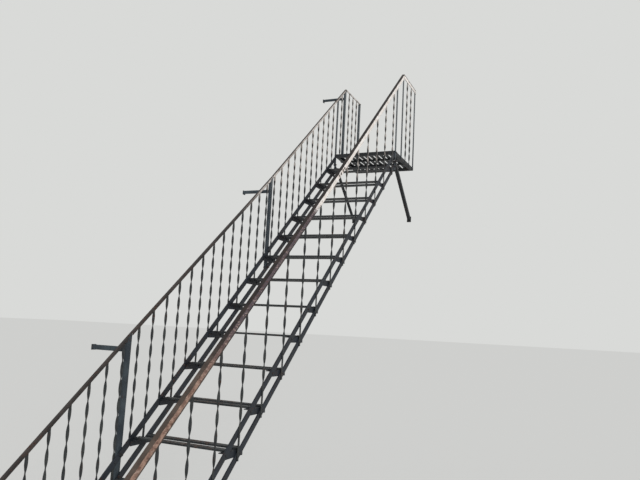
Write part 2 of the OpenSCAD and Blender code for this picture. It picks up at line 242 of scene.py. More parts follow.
# %% [markdown]
# ## Floor and light
# A matt pale floor takes the shadow. The studio round it is plain white, but
# camera and mirror rays see it as pale grey, so that both the dark steel and
# the rails' pale painted sunlight stand out from it.
# The key light is low on the right side, as the sun is in the afternoon. It
# is made very wide, like a large soft box, so that its shadows are soft, and
# it is equally strong along the whole flight.


# %% What the camera sees behind the stair
BACKDROP = "#d9dad8"


def seen_directly(tree):
    """1 for camera, mirror and glass rays, 0 for the rays that light the steel."""
    light_path = add_node(tree, "LightPath")
    most = light_path.outputs["Is Camera Ray"]
    for ray in ("Is Glossy Ray", "Is Transmission Ray"):
        most = add_node(tree, "Math", {"operation": "MAXIMUM"}, {0: most, 1: light_path.outputs[ray]})
    return most


print("backdrop", BACKDROP)


# %% A clean selection, which every primitive starts from
def deselect():
    """Leaves edit mode and selects nothing."""
    if bpy.context.object and bpy.context.object.mode != "OBJECT":
        bpy.ops.object.mode_set(mode="OBJECT")
    bpy.ops.object.select_all(action="DESELECT")


deselect()
print("objects selected:", len(bpy.context.selected_objects))

# %% Finish of the floor
floor_finish = bpy.data.materials.new("pale_studio_paint")
floor_finish.use_nodes = True
tree = floor_finish.node_tree
tree.nodes.clear()
matt = add_node(tree, "BsdfDiffuse", {"Color": linear("#d8d8d6")})
lift = add_node(tree, "Emission", {"Color": linear(BACKDROP), "Strength": 1.0})
share = add_node(tree, "Math", {"operation": "MULTIPLY", 1: 0.55}, {0: seen_directly(tree)})
mixed = add_node(tree, "MixShader", links={0: share, 1: matt, 2: lift})
add_node(tree, "OutputMaterial", links={"Surface": mixed})
print("floor finish:", floor_finish.name)

# %% Floor
FLOOR_SIZE = 300
FLOOR_GAP = 0.002
bpy.ops.mesh.primitive_plane_add(size=FLOOR_SIZE, location=(0, 0, -FLOOR_GAP))
floor = bpy.context.object
floor.name = "studio_floor"
floor.data.materials.append(floor_finish)
print("floor just under the foot plates, at", round(floor.location.z, 3))

# %% Studio round the stair
world = bpy.data.worlds.new("studio")
bpy.context.scene.world = world
world.use_nodes = True
tree = world.node_tree
tree.nodes.clear()
around = add_node(tree, "Background", {"Color": linear("#ffffff"), "Strength": 0.50})
seen = add_node(tree, "Background", {"Color": linear(BACKDROP), "Strength": 1.0})
choice = add_node(tree, "MixShader", links={0: seen_directly(tree), 1: around, 2: seen})
add_node(tree, "OutputWorld", links={"Surface": choice})
print("studio:", world.name)

# %% Key light
key_data = bpy.data.lights.new("key_light", "SUN")
key_data.energy = 1.9
key_data.angle = math.radians(25)
key = bpy.data.objects.new("key_light", key_data)
bpy.context.collection.objects.link(key)
key.location = (8.0, -4.0, 7.0)
middle_of_flight = Vector((0.4, 2.4, 2.0))
key.rotation_euler = (middle_of_flight - key.location).to_track_quat("-Z", "Y").to_euler()
bpy.context.scene.view_settings.view_transform = "Standard"
print("key light", round(math.degrees(key_data.angle)), "degrees wide")

# %% [markdown]
# ## Old paint on hot-rolled steel
# The real finish is several brushed coats of dark alkyd enamel on steel that
# was rolled hot. Decades outdoors have chalked it, chipped it at the edges
# down to dull primer, and let rust into the chips. It could be painted by
# hand on a map, but a procedural finish covers all 45 nodes at one scale.
# Noise in object space gives the patches, and the angle between the true
# normal and a rounded one finds the edges.


# %% How each finish starts
def start_finish(name, patterns):
    """An empty material with its patterns: size in mm, detail, pull along Z, and any soft step."""
    material = bpy.data.materials.new(name)
    material.use_nodes = True
    tree = material.node_tree
    tree.nodes.clear()
    place = add_node(tree, "TexCoord").outputs["Object"]
    marks = {}
    for pattern, (size_mm, detail, pull, *step) in patterns.items():
        drawn = add_node(tree, "Mapping", {"Scale": (1.0, 1.0, 1.0 / pull)}, {"Vector": place})
        marks[pattern] = add_node(tree, "TexNoise", {
            "Scale": 1000.0 / size_mm, "Detail": detail, "Roughness": 0.6}, {"Vector": drawn})
        if step:
            marks["soft " + pattern] = add_node(tree, "MapRange", soft_step(*step), {"Value": marks[pattern]})
    return material, tree, place, marks


# %% How each painted finish ends
PAINT_IOR = 1.42
RELIEF = {"Strength": 0.55, "Distance": 0.0006}


def end_finish(tree, height, rounded, channels):
    """Paint with a slight relief and softly rounded edges."""
    bump = add_node(tree, "Bump", RELIEF, {"Height": height, "Normal": rounded})
    shader = add_node(tree, "BsdfPrincipled", {"IOR": PAINT_IOR}, {**channels, "Normal": bump})
    add_node(tree, "OutputMaterial", links={"Surface": shader})


print("relief of the paint about", RELIEF["Distance"] * 1000, "mm")


# %% Masks that the finishes share
def worn_edges(tree, radius_mm):
    """1 along edges, 0 on flat faces: where the rounded normal leaves the true one."""
    rounded = add_node(tree, "Bevel", {"samples": 4, "Radius": radius_mm / 1000})
    true = add_node(tree, "NewGeometry").outputs["Normal"]
    agree = add_node(tree, "VectorMath", {"operation": "DOT_PRODUCT"}, {0: rounded, 1: true})
    edges = add_node(tree, "MapRange", soft_step(0.995, 0.86), {"Value": agree})
    return edges, rounded


def turned_to(tree, axis, start, end, amount=1.0):
    """The faces that turn to +X or +Z, from none at start to the full amount at end."""
    normal = add_node(tree, "NewGeometry").outputs["Normal"]
    sides = add_node(tree, "SeparateXYZ", links={0: normal})
    return add_node(tree, "MapRange", soft_step(start, end, amount), {"Value": sides.outputs[axis]})


# %% Where sunlight is painted on the outer faces
SUNLIT_START = 1.52
SUNLIT_FULL = 1.68
SUNLIT_CLIMB = 0.5


def sunny_side(tree, place, amount):
    """The outer faces over a line that climbs with the flight, where sunlight is painted on as a paler tone.
    """
    outer = turned_to(tree, "X", 0.30, 0.75, amount)
    over_line = add_node(tree, "VectorMath", {"operation": "DOT_PRODUCT", 1: (0.0, -SUNLIT_CLIMB, 1.0)},
                         {0: place})
    above = add_node(tree, "MapRange", soft_step(SUNLIT_START, SUNLIT_FULL), {"Value": over_line})
    return add_node(tree, "Math", {"operation": "MULTIPLY"}, {0: outer, 1: above})


print("bleached from", SUNLIT_START, "m up at the foot, and", SUNLIT_CLIMB, "m higher for each metre along")

# %% The coat
SUNLIT_CHALK = "#8f867f"
GRIME = "#1b1a18"
RUSTY_GRIME = "#3a2a22"


def weathered_coat(tree, marks, sun, paint, faded, sunlit):
    """Enamel that chalks in hand-sized patches, is painted paler as painted sunlight where the sun mask is
    set, and gathers grime.
    """
    chalk = marks["soft chalk"]
    coat = add_node(tree, "Mix", tones(paint, faded), {0: chalk})
    # painted sunlight: on the outer faces above the climbing line the coat is mixed to a pale tone, paler
    # still in the chalk patches
    pale = add_node(tree, "Mix", tones(sunlit, SUNLIT_CHALK), {0: chalk})
    coat = add_node(tree, "Mix", COLOURS, {0: sun, 6: coat, 7: pale})
    # grime runs down in streaks, and is rusty where chips lie above it
    grime = add_node(tree, "MapRange", soft_step(0.50, 0.72, 0.40), {"Value": marks["streaks"]})
    tone = add_node(tree, "Mix", tones(GRIME, RUSTY_GRIME), {0: marks["soft groups"]})
    return add_node(tree, "Mix", COLOURS, {0: grime, 6: coat, 7: tone})


print("grime", GRIME, "turning to", RUSTY_GRIME, "where chips lie in groups")

# %% The chips
EDGE_CHIPS = 0.11
GROUP_CHIPS = 0.05
SUNLIT_CHIPS = -0.04


def chip_chance(tree, marks, edges, sun):
    """How likely a chip is. Far more lie along the edges, and fewer show where sunlight is painted."""
    near_edge = add_node(tree, "Math", {"operation": "MULTIPLY_ADD", 1: EDGE_CHIPS},
                         {0: edges, 2: marks["chips"]})
    # they come in groups about 300 mm long, where water stood or a boot kicked
    grouped = add_node(tree, "MapRange", {
        "From Min": 0.38, "From Max": 0.62, "To Min": -GROUP_CHIPS, "To Max": GROUP_CHIPS},
        {"Value": marks["groups"]})
    chance = add_node(tree, "Math", {"operation": "ADD"}, {0: near_edge, 1: grouped})
    return add_node(tree, "Math", {"operation": "MULTIPLY_ADD", 1: SUNLIT_CHIPS}, {0: sun, 2: chance})


print("an edge adds", EDGE_CHIPS, "to the chance of a chip")

# %% Patterns of the layered paint
# chips are 5 to 20 mm across; the rust's grain is really finer, and is drawn at 3 mm so that it shows
PAINT_MARKS = {
    "chalk": (170, 4, 1, 0.42, 0.66), "streaks": (14, 3, 14), "grain": (3, 5, 1, 0.35, 0.65),
    "brush": (6, 3, 1), "chips": (22, 6, 1), "groups": (300, 2, 1, 0.48, 0.60),
}
DEEP_RUST = "#2a1a14"
# how far past the chipping share the primer is bare, rust begins, and rust is full
PRIMER_FULL = 0.012
RUST_START = 0.01
RUST_FULL = 0.05
print("sizes in mm:", {pattern: mark[0] for pattern, mark in PAINT_MARKS.items()})


# %% The layered paint
def old_paint(name, paint, faded, primer, rust, chips, sunlight_amount=0.0, sunlit=SUNLIT_CHALK):
    """Dark enamel, chalked in patches, chipped to primer and rust, and, with an amount given, painted
    sunlight on the outer faces above a climbing line. More chips with a lower share.
    """
    material, tree, place, marks = start_finish(name, PAINT_MARKS)
    edges, rounded = worn_edges(tree, radius_mm=4)
    # painted sunlight: a mask of the outer faces above a line that climbs with the flight
    sun = sunny_side(tree, place, sunlight_amount)
    colour = weathered_coat(tree, marks, sun, paint, faded, sunlit)
    chance = chip_chance(tree, marks, edges, sun)
    chipped = add_node(tree, "MapRange", soft_step(chips, chips + PRIMER_FULL), {"Value": chance})
    rusted = add_node(tree, "MapRange", soft_step(chips + RUST_START, chips + RUST_FULL), {"Value": chance})
    colour = add_node(tree, "Mix", {**COLOURS, 7: linear(primer)}, {0: chipped, 6: colour})
    rust_tone = add_node(tree, "Mix", tones(rust, DEEP_RUST), {0: marks["soft grain"]})
    colour = add_node(tree, "Mix", COLOURS, {0: rusted, 6: colour, 7: rust_tone})
    # enamel keeps a dull sheen, while chalk, primer and rust are matt
    half_dull = add_node(tree, "Math", {"operation": "MULTIPLY", 1: 0.5}, {0: marks["soft chalk"]})
    dull = add_node(tree, "Math", {"operation": "MAXIMUM"}, {0: half_dull, 1: chipped})
    rough = add_node(tree, "MapRange", {"To Min": 0.55, "To Max": 0.92}, {"Value": dull})
    # brush marks stand up a little, chips lie lower, and rust is pitted
    brushed = add_node(tree, "Math", {"operation": "MULTIPLY", 1: 0.35}, {0: marks["brush"]})
    lower = add_node(tree, "Math", {"operation": "SUBTRACT"}, {0: brushed, 1: chipped})
    pits = add_node(tree, "Math", {"operation": "MULTIPLY"}, {0: marks["grain"], 1: rusted})
    height = add_node(tree, "Math", {"operation": "MULTIPLY_ADD", 1: 1.2}, {0: pits, 2: lower})
    end_finish(tree, height, rounded, {"Base Color": colour, "Roughness": rough})
    return material


# %% Paints of the stair: coat, faded coat, primer, rust, the share at which it chips, and for some the amount and tone of painted sunlight
string_finish = old_paint("chalked_dark_enamel", "#171c23", "#262c34", "#4c3a33", "#3f2a22", 0.65)
picket_finish = old_paint("enamelled_picket_bar", "#222628", "#343736", "#4c3a32", "#40291f", 0.65,
                          sunlight_amount=0.80, sunlit="#bdb4ad")
post_finish = old_paint("blue_grey_post_enamel", "#283138", "#3f494f", "#54433b", "#432d23", 0.655,
                        sunlight_amount=0.18, sunlit="#9aa0a2")
left_rail_finish = old_paint("handled_rail_enamel", "#2b2726", "#423b38", "#55413a", "#432b21", 0.63,
                             sunlight_amount=0.92, sunlit="#dcd3cc")
frame_finish = old_paint("dark_frame_enamel", "#1b1f22", "#2d3134", "#4c3a33", "#3f2a22", 0.645)
print("layered paints:", string_finish.name, picket_finish.name, post_finish.name)

# %% [markdown]
# The treads have the same coats, but boots have worn them through. Along the
# edges and in the middle of the flight rust shows, and at its worst the dull
# steel itself. A mask from the place on the tread, from its edges and from
# upward-facing normals puts the wear where it belongs.


# %% Where boots wear the treads
WEAR_OUTER = 0.30
WEAR_INNER = 0.10


def boot_wear(tree, place, marks, edges):
    """Wear, deepest on the tops near the flight's middle, and along the edges."""
    across = add_node(tree, "SeparateXYZ", links={0: place})
    from_middle = add_node(tree, "Math", {"operation": "SUBTRACT", 1: WIDTH / 2}, {0: across.outputs["X"]})
    off_centre = add_node(tree, "Math", {"operation": "ABSOLUTE"}, {0: from_middle})
    middle = add_node(tree, "MapRange", soft_step(WEAR_OUTER, WEAR_INNER), {"Value": off_centre})
    top = turned_to(tree, "Z", 0.5, 0.9)
    walked = add_node(tree, "Math", {"operation": "MULTIPLY"}, {0: middle, 1: top})
    trodden = add_node(tree, "Math", {"operation": "MULTIPLY_ADD", 1: 0.16}, {0: walked, 2: marks["wear"]})
    return add_node(tree, "Math", {"operation": "MULTIPLY_ADD", 1: 0.14}, {0: edges, 2: trodden})


print("boots wear the treads up to", WEAR_OUTER, "m from the middle")

# %% Trodden bars
TREAD_MARKS = {"coat": (120, 4, 1, 0.40, 0.65), "wear": (35, 6, 1), "grain": (3, 5, 1, 0.35, 0.65)}
BARE_STEEL = "#75726e"


def trodden_paint(name):
    """Tread enamel worn through to dull steel on the top, with rust round the wear."""
    material, tree, place, marks = start_finish(name, TREAD_MARKS)
    edges, rounded = worn_edges(tree, radius_mm=5)
    wear = boot_wear(tree, place, marks, edges)
    rusted = add_node(tree, "MapRange", soft_step(0.62, 0.66), {"Value": wear})
    bare = add_node(tree, "MapRange", soft_step(0.70, 0.76), {"Value": wear})
    coat = add_node(tree, "Mix", tones("#202427", "#343839"), {0: marks["soft coat"]})
    rust = add_node(tree, "Mix", tones("#463026", "#2d1f19"), {0: marks["soft grain"]})
    colour = add_node(tree, "Mix", COLOURS, {0: rusted, 6: coat, 7: rust})
    colour = add_node(tree, "Mix", {**COLOURS, 7: linear(BARE_STEEL)}, {0: bare, 6: colour})
    rough = add_node(tree, "MapRange", {"To Min": 0.58, "To Max": 0.86}, {"Value": rusted})
    metal = add_node(tree, "Math", {"operation": "MULTIPLY", 1: 0.85}, {0: bare})
    relief = add_node(tree, "Math", {"operation": "MULTIPLY", 1: 0.5}, {0: marks["grain"]})
    height = add_node(tree, "Math", {"operation": "SUBTRACT"}, {0: relief, 1: rusted})
    end_finish(tree, height, rounded, {"Base Color": colour, "Roughness": rough, "Metallic": metal})
    return material


tread_finish = trodden_paint("trodden_tread_enamel")
print("trodden finish:", tread_finish.name)

# %% [markdown]
# The right rail is the one that hands and weather have stripped. Its
# standing face shows salmon primer with rust spots below and goes greyer in
# the middle. Above, it is painted almost white: painted sunlight. The flat
# leg on top has a dark coat, painted darker higher up as painted shade, and
# the first centimetre under it and the lower lip are dark with painted shade.
# The face is told from the rest by its normal, and the distance down from
# the rail's top line tells rim and lip, so the pattern follows the rail up
# its slope. Wear runs lengthwise, so its noise is turned to the pitch and
# drawn out along the rail.

# %% How far down the rail a place is
SPLICE_TOP = RIGHT_RAIL[1][1]
LEVEL_TOP = RIGHT_RAIL[2][1]
UPPER_RAIL_SLOPE = (LEVEL_TOP - SPLICE_TOP) / (TOP_POST_Y - SPLICE_Y)
# the slope of each length, and a point that it passes through
RAIL_LENGTHS = ((SLOPE, SPLICE_Y, SPLICE_TOP), (UPPER_RAIL_SLOPE, SPLICE_Y, SPLICE_TOP),
                (0.0, TOP_POST_Y, LEVEL_TOP))


def below_rail_line(tree, place):
    """Metres below the top line, which has a lower, an upper and a level length."""
    below = []
    for slope, y, z in RAIL_LENGTHS:
        fall = add_node(tree, "VectorMath", {"operation": "DOT_PRODUCT", 1: (0.0, slope, -1.0)}, {0: place})
        below.append(add_node(tree, "Math", {"operation": "ADD", 1: z - slope * y}, {0: fall}))
    sloped = add_node(tree, "Math", {"operation": "MAXIMUM"}, {0: below[0], 1: below[1]})
    return add_node(tree, "Math", {"operation": "MINIMUM"}, {0: sloped, 1: below[2]})


print("the upper length climbs", round(UPPER_RAIL_SLOPE, 3), "m a metre")

# %% Colours of the stripped face
# the height at which the face goes greyer, and the marks and tones of what hands have rubbed away
GREYER = soft_step(1.40, 1.85)
RUBBED_TO = ((soft_step(0.55, 0.60, 0.75), "#57392f"), (soft_step(0.44, 0.40, 0.55), "#b8a295"))


def stripped_and_sunlit_face(tree, marks, rubbed, ragged, sunlit_zone):
    """From the foot up: salmon primer, a greyer stretch, and near-white painted sunlight with a ragged start.
    """
    patchy = marks["soft blotch"]
    greyer = add_node(tree, "MapRange", GREYER, {"Value": ragged})
    face = add_node(tree, "Mix", tones("#9f8070", "#775c50"), {0: patchy})
    face = add_node(tree, "Mix", {**COLOURS, 7: linear("#51474d")}, {0: greyer, 6: face})
    # painted sunlight: near-white tones for the face above a ragged height
    whitened = add_node(tree, "Mix", tones("#faf6f2", "#e6dcd4"), {0: patchy})
    face = add_node(tree, "Mix", COLOURS, {0: sunlit_zone, 6: face, 7: whitened})
    # hands have rubbed it in long marks, some down to rust and some to pale undercoat
    fewer = add_node(tree, "MapRange", {"To Min": 1.0, "To Max": 0.18}, {"Value": sunlit_zone})
    for step, tone in RUBBED_TO:
        mark = add_node(tree, "MapRange", step, {"Value": rubbed})
        mark = add_node(tree, "Math", {"operation": "MULTIPLY"}, {0: mark, 1: fewer})
        face = add_node(tree, "Mix", {**COLOURS, 7: linear(tone)}, {0: mark, 6: face})
    return face


print("rubbed down to", [tone for step, tone in RUBBED_TO])

# %% The dark coat and the painted shade on the rail
# how far under the top line the rim's painted shade ends and the lip's begins, and the height above which the
# coat is painted darker as painted shade
RIM = {"From Min": 0.015, "From Max": 0.005}
LIP = {"From Min": 0.042, "From Max": 0.053}
PAINTED_SHADE_HEIGHTS = soft_step(1.50, 1.80)


def coat_or_painted_shade(tree, place, marks, sunlit_zone):
    """1 for the dark coat off the outer face, and for painted shade under its rim and on its lower lip."""
    down = below_rail_line(tree, place)
    # painted shade: a dark band under the top line, and a dark lower lip that is left out where sunlight is
    # painted
    rim = add_node(tree, "MapRange", RIM, {"Value": down})
    lip = add_node(tree, "MapRange", LIP, {"Value": down})
    lip = add_node(tree, "Math", {"operation": "SUBTRACT"}, {0: lip, 1: sunlit_zone})
    rim_and_lip_shade = add_node(tree, "Math", {"operation": "MAXIMUM"}, {0: rim, 1: lip})
    darkened = add_node(tree, "Math", {"operation": "MULTIPLY_ADD", 1: 0.60}, {0: rim_and_lip_shade, 2: marks["blotch"]})
    outer = turned_to(tree, "X", 0.3, 0.7)
    darkened = add_node(tree, "Math", {"operation": "MULTIPLY_ADD", 1: -0.70}, {0: outer, 2: darkened})
    return add_node(tree, "MapRange", soft_step(0.05, 0.13), {"Value": darkened})


def rail_coat_and_shade(tree, marks, ragged):
    """Dark enamel, brownish near the foot and painted darker above a ragged height as painted shade."""
    chalk = marks["soft coat"]
    # the darker tone is the coat with painted shade over it, and takes over from the brownish coat above a
    # ragged height
    thick = add_node(tree, "Mix", tones("#191414", "#2e2521"), {0: chalk})
    thin = add_node(tree, "Mix", tones("#453b34", "#5a4e45"), {0: chalk})
    shade_above = add_node(tree, "MapRange", PAINTED_SHADE_HEIGHTS, {"Value": ragged})
    return add_node(tree, "Mix", COLOURS, {0: shade_above, 6: thin, 7: thick})


print("the rim has kept its coat to", RIM["From Min"], "m down")

# %% Patterns along the rail
RAIL_MARKS = {
    "blotch": (45, 6, 1, 0.38, 0.62), "coat": (120, 4, 1, 0.40, 0.65), "spots": (16, 6, 1),
    "grain": (3, 5, 1, 0.35, 0.65),
}
# wear along the rail is 10 mm wide and 35 mm long
RUB_SCALE = {"Scale": 100.0, "Detail": 6.0, "Roughness": 0.7}
RUB_DRAWN_OUT = {"Rotation": (-PITCH, 0.0, 0.0), "Scale": (1.0, 0.28, 1.0)}
# metres of that noise are added to a height, so that what starts there starts raggedly
RAGGED = 0.30
# painted sunlight: the face is painted near white above this ragged height
SUNLIT_HEIGHTS = soft_step(2.68, 2.78)
print("chalky from a ragged height of", SUNLIT_HEIGHTS["From Min"], "m")


# %% Worn handrail
def worn_rail_paint(name):
    """Salmon primer and rust on the standing face, near-white painted sunlight above, painted shade on its
    rim and lip, and dark enamel, painted darker higher up as painted shade, on the rest.
    """
    material, tree, place, marks = start_finish(name, RAIL_MARKS)
    edges, rounded = worn_edges(tree, radius_mm=4)
    along_rail = add_node(tree, "Mapping", RUB_DRAWN_OUT, {"Vector": place})
    rubbed = add_node(tree, "TexNoise", RUB_SCALE, {"Vector": along_rail})
    height = add_node(tree, "SeparateXYZ", links={0: place}).outputs["Z"]
    ragged = add_node(tree, "Math", {"operation": "MULTIPLY_ADD", 1: RAGGED}, {0: rubbed, 2: height})
    # painted sunlight: a mask for the face above a ragged height
    sunlit_zone = add_node(tree, "MapRange", SUNLIT_HEIGHTS, {"Value": ragged})
    face = stripped_and_sunlit_face(tree, marks, rubbed, ragged, sunlit_zone)
    coat_or_shade = coat_or_painted_shade(tree, place, marks, sunlit_zone)
    # where the mask is set, the dark coat and the painted shade are laid over the face
    colour = add_node(tree, "Mix", COLOURS, {0: coat_or_shade, 6: face, 7: rail_coat_and_shade(tree, marks, ragged)})
    # spots of rust lie along the edges, and fewer of them where sunlight is painted
    chance = add_node(tree, "Math", {"operation": "MULTIPLY_ADD", 1: 0.12}, {0: edges, 2: marks["spots"]})
    chance = add_node(tree, "Math", {"operation": "MULTIPLY_ADD", 1: -0.04}, {0: sunlit_zone, 2: chance})
    rusted = add_node(tree, "MapRange", soft_step(0.62, 0.67), {"Value": chance})
    rust = add_node(tree, "Mix", tones("#5c3528", "#33201a"), {0: marks["soft grain"]})
    colour = add_node(tree, "Mix", COLOURS, {0: rusted, 6: colour, 7: rust})
    rough = add_node(tree, "MapRange", {"To Min": 0.70, "To Max": 0.92}, {"Value": rusted})
    pits = add_node(tree, "Math", {"operation": "MULTIPLY"}, {0: marks["grain"], 1: rusted})
    relief = add_node(tree, "Math", {"operation": "MULTIPLY_ADD", 1: 0.8}, {0: pits, 2: coat_or_shade})
    end_finish(tree, relief, rounded, {"Base Color": colour, "Roughness": rough})
    return material


worn_rail_and_painted_light_finish = worn_rail_paint("salmon_primed_rail")
print("worn finish:", worn_rail_and_painted_light_finish.name)

# %% [markdown]
# Rivet heads and bolts lose their paint first, because brushes skip under
# them and water sits round them. They get a darker enamel with more rust.
# Anchor nuts on the feet are zinc coated, a dull grey metal with white bloom.


# %% Fastener finishes
def weathered_zinc(name):
    """Hot-dip zinc gone matt: grey metal with pale bloom in spots about 8 mm wide."""
    material, tree, place, marks = start_finish(name, {"bloom": (8, 4, 1, 0.50, 0.64)})
    bloom = marks["soft bloom"]
    colour = add_node(tree, "Mix", tones("#6a6e70", "#96978f"), {0: bloom})
    rough = add_node(tree, "MapRange", {"To Min": 0.62, "To Max": 0.90}, {"Value": bloom})
    metal = add_node(tree, "MapRange", {"To Min": 0.60, "To Max": 0.15}, {"Value": bloom})
    channels = {"Base Color": colour, "Roughness": rough, "Metallic": metal}
    add_node(tree, "OutputMaterial", links={"Surface": add_node(tree, "BsdfPrincipled", links=channels)})
    return material


rivet_finish = old_paint("rusted_rivet_enamel", "#1c1f21", "#2c2f31", "#4a362d", "#42291e", 0.57)
zinc_finish = weathered_zinc("weathered_zinc")
print("fastener finishes:", rivet_finish.name, zinc_finish.name)

# %% Finishes on the construction nodes
SLOT_FINISH = {
    "string_paint": string_finish,
    "tread_paint": tread_finish,
    "wall_rail_paint": left_rail_finish,
    "worn_rail_paint": worn_rail_and_painted_light_finish,
    "picket_paint": picket_finish,
    "post_paint": post_finish,
    "frame_paint": frame_finish,
}
for part in frame["record"]["subparts"]:
    node = frame["nodes"][part["node"]]
    for holder in node.material_slots:
        holder.material = SLOT_FINISH[part["material_slot"]]
print("finishes on", len(frame["nodes"]), "nodes")

# %% [markdown]
# ## Helpers for modelling
# Every new piece starts from a primitive at its real size. It is shaped in
# edit mode, where faces and edges are chosen by their place or direction,
# because a script has no mouse to click with.


# %% Shaping in edit mode
MODES = {"faces": "FACE", "edges": "EDGE", "verts": "VERT"}
SAME = 1e-5


def edit(kind, test, operator, **settings):
    """Runs an operator on the faces, edges or vertices of the active mesh that pass a test."""
    bpy.ops.object.mode_set(mode="EDIT")
    bpy.ops.mesh.select_mode(type=MODES[kind])
    bpy.ops.mesh.select_all(action="DESELECT")
    mesh = bpy.context.object.data
    shape = bmesh.from_edit_mesh(mesh)
    chosen = [element for element in getattr(shape, kind) if test(element)]
    for element in chosen:
        element.select_set(True)
    bmesh.update_edit_mesh(mesh)
    operator(**settings)
    bpy.ops.object.mode_set(mode="OBJECT")


def everything(element):
    """A test that all pass."""
    return True


def upright(edge):
    """True for an edge that isn't level."""
    return abs(edge.verts[0].co.z - edge.verts[1].co.z) > SAME


print("places within", SAME, "m count as the same")

# %% Primitives at their real size
SOFT_EDGE = 0.0008
SHARP = math.radians(40)


def block(low, high):
    """A primitive cube made to fill the box between two corners."""
    deselect()
    low, high = Vector(low), Vector(high)
    bpy.ops.mesh.primitive_cube_add(size=1, location=(low + high) / 2)
    bar = bpy.context.object
    bar.scale = high - low
    bpy.ops.object.transform_apply(location=True, rotation=True, scale=True)
    return bar


def cylinder(sides, radius, base, height):
    """A primitive cylinder that stands round the Z axis on its base."""
    deselect()
    bpy.ops.mesh.primitive_cylinder_add(vertices=sides, radius=radius, depth=height,
                                        location=(0, 0, base + height / 2))
    bpy.ops.object.transform_apply(location=True, rotation=True, scale=True)
    return bpy.context.object


def soften():
    """Bevels every sharp edge of the active mesh, as rolling and wear do."""
    edit("edges", lambda edge: edge.calc_face_angle(0.0) > SHARP,
         bpy.ops.mesh.bevel, offset=SOFT_EDGE, segments=1, affect="EDGES")


print("softened edges are", SOFT_EDGE * 1000, "mm wide")


# %% Copies of a master shape
def copies(master, turns):
    """Copies of a master shape, each with its own mesh, put in place by a matrix."""
    made = []
    for matrix in turns:
        copy = master.copy()
        copy.data = master.data.copy()
        copy.data.transform(matrix)
        bpy.context.collection.objects.link(copy)
        made.append(copy)
    return made


def discard(*masters):
    """Deletes master shapes once their copies are made."""
    for master in masters:
        bpy.data.meshes.remove(master.data)


def joined(parts):
    """Joins parts into the first of them."""
    deselect()
    for part in parts:
        part.select_set(True)
    bpy.context.view_layer.objects.active = parts[0]
    if len(parts) > 1:
        bpy.ops.object.join()
    return bpy.context.object


# %% The end of each piece
def finish_piece(parts, name, material, replaced=(), smooth=50):
    """Joins parts into one named piece, smooths it, and gives it a finish and a body."""
    piece = joined(parts)
    piece.name = piece.data.name = name
    bpy.ops.object.shade_smooth_by_angle(angle=math.radians(smooth))
    piece.data.materials.clear()
    piece.data.materials.append(material)
    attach(piece, "root")
    if replaced:
        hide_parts(*replaced)
    print(name, "has", len(piece.data.polygons), "faces")


# %% [markdown]
# ## Twisted pickets
# Each picket is a flat bar that a smith clamped at both ends and turned
# while it was hot. The construction model turns it in steps of 45 degrees.
# Here a bar is softened along its edges, cut into many short lengths, and
# turned by the Twist modifier. It is twisted first and given its plain ends
# after, so that the ends stay flat for the rivets. One bar is made for each
# number of half turns, and every copy is then drawn out to its own length.

# %% One twisted bar for each number of half turns
RINGS = 10
PLAIN_END = 0.1


def twisted_bar(half_turns):
    """A bar twisted from Z = 0 to Z = 1, with a plain end of PLAIN_END below and above."""
    half = Vector((PICKET_THICKNESS / 2, PICKET_WIDTH / 2))
    bar = block((-half.x, -half.y, 0), (half.x, half.y, 1))
    edit("edges", upright, bpy.ops.mesh.bevel, offset=SOFT_EDGE, segments=1, affect="EDGES")
    edit("edges", upright, bpy.ops.mesh.subdivide, number_cuts=half_turns * RINGS - 1)
    twist = bar.modifiers.new("twist", "SIMPLE_DEFORM")
    twist.deform_method = "TWIST"
    twist.deform_axis = "Z"
    twist.angle = math.pi * half_turns
    bpy.ops.object.modifier_apply(modifier="twist")
    for end, way in ((0, -1), (1, 1)):
        edit("faces", lambda face: all(abs(v.co.z - end) < SAME for v in face.verts),
             bpy.ops.mesh.extrude_region_move, TRANSFORM_OT_translate={"value": (0, 0, way * PLAIN_END)})
    return bar


print("half a turn is cut into", RINGS, "lengths of", round(HALF_TURN / RINGS * 1000, 1), "mm")

# %% A picket drawn out to its place
bars = {}


def picket(x, y, foot, start, end, head):
    """A copy of the bar with as many half turns, its foot, twist and head drawn out to their heights."""
    half_turns = max(1, round((end - start) / HALF_TURN))
    if half_turns not in bars:
        bars[half_turns] = twisted_bar(half_turns)
    copy = copies(bars[half_turns], [Matrix.Identity(4)])[0]
    for vertex in copy.data.vertices:
        z = vertex.co.z
        if z < 0:
            z = start + (foot - start) * -z / PLAIN_END
        elif z <= 1:
            z = start + (end - start) * z
        else:
            z = end + (head - end) * (z - 1) / PLAIN_END
        vertex.co = (vertex.co.x + x, vertex.co.y + y, z)
    return copy


print("bars twisted so far:", len(bars))

# %% How a picket stands on a string or on the landing
PICKET_DROP = PICKET_WIDTH / 2 * SLOPE
LEFT_OUTSIDE = -STRING_FACE - PICKET_THICKNESS
RIGHT_OUTSIDE = WIDTH + STRING_FACE + PICKET_THICKNESS
LEFT_PICKET_X = -STRING_FACE - PICKET_THICKNESS / 2
RIGHT_PICKET_X = WIDTH + STRING_FACE + PICKET_THICKNESS / 2


def string_picket(x, y, goes_down, line, leg):
    """A picket from the upper or the lower bar of a string to the rail."""
    foot = SLOPE * y + (LOWER_LIFT if goes_down else UPPER_LIFT) - CHORD_HALF_HEIGHT
    start = SLOPE * y + UPPER_LIFT + CHORD_HALF_HEIGHT + NECK
    rail = along(line, y)
    end = rail - leg / math.cos(PITCH) - NECK
    return picket(x, y, max(foot, FOOT_THICKNESS + SEAT_GAP), start, end,
                  rail - RAIL_DROP - PICKET_DROP - SEAT_GAP)


def landing_picket(x, y, line, leg, drop):
    """A picket from the landing's frame to the rail."""
    rail = along(line, y)
    return picket(x, y, LANDING_BOTTOM, LANDING_LEVEL + NECK, rail - leg - NECK, rail - drop - SEAT_GAP)


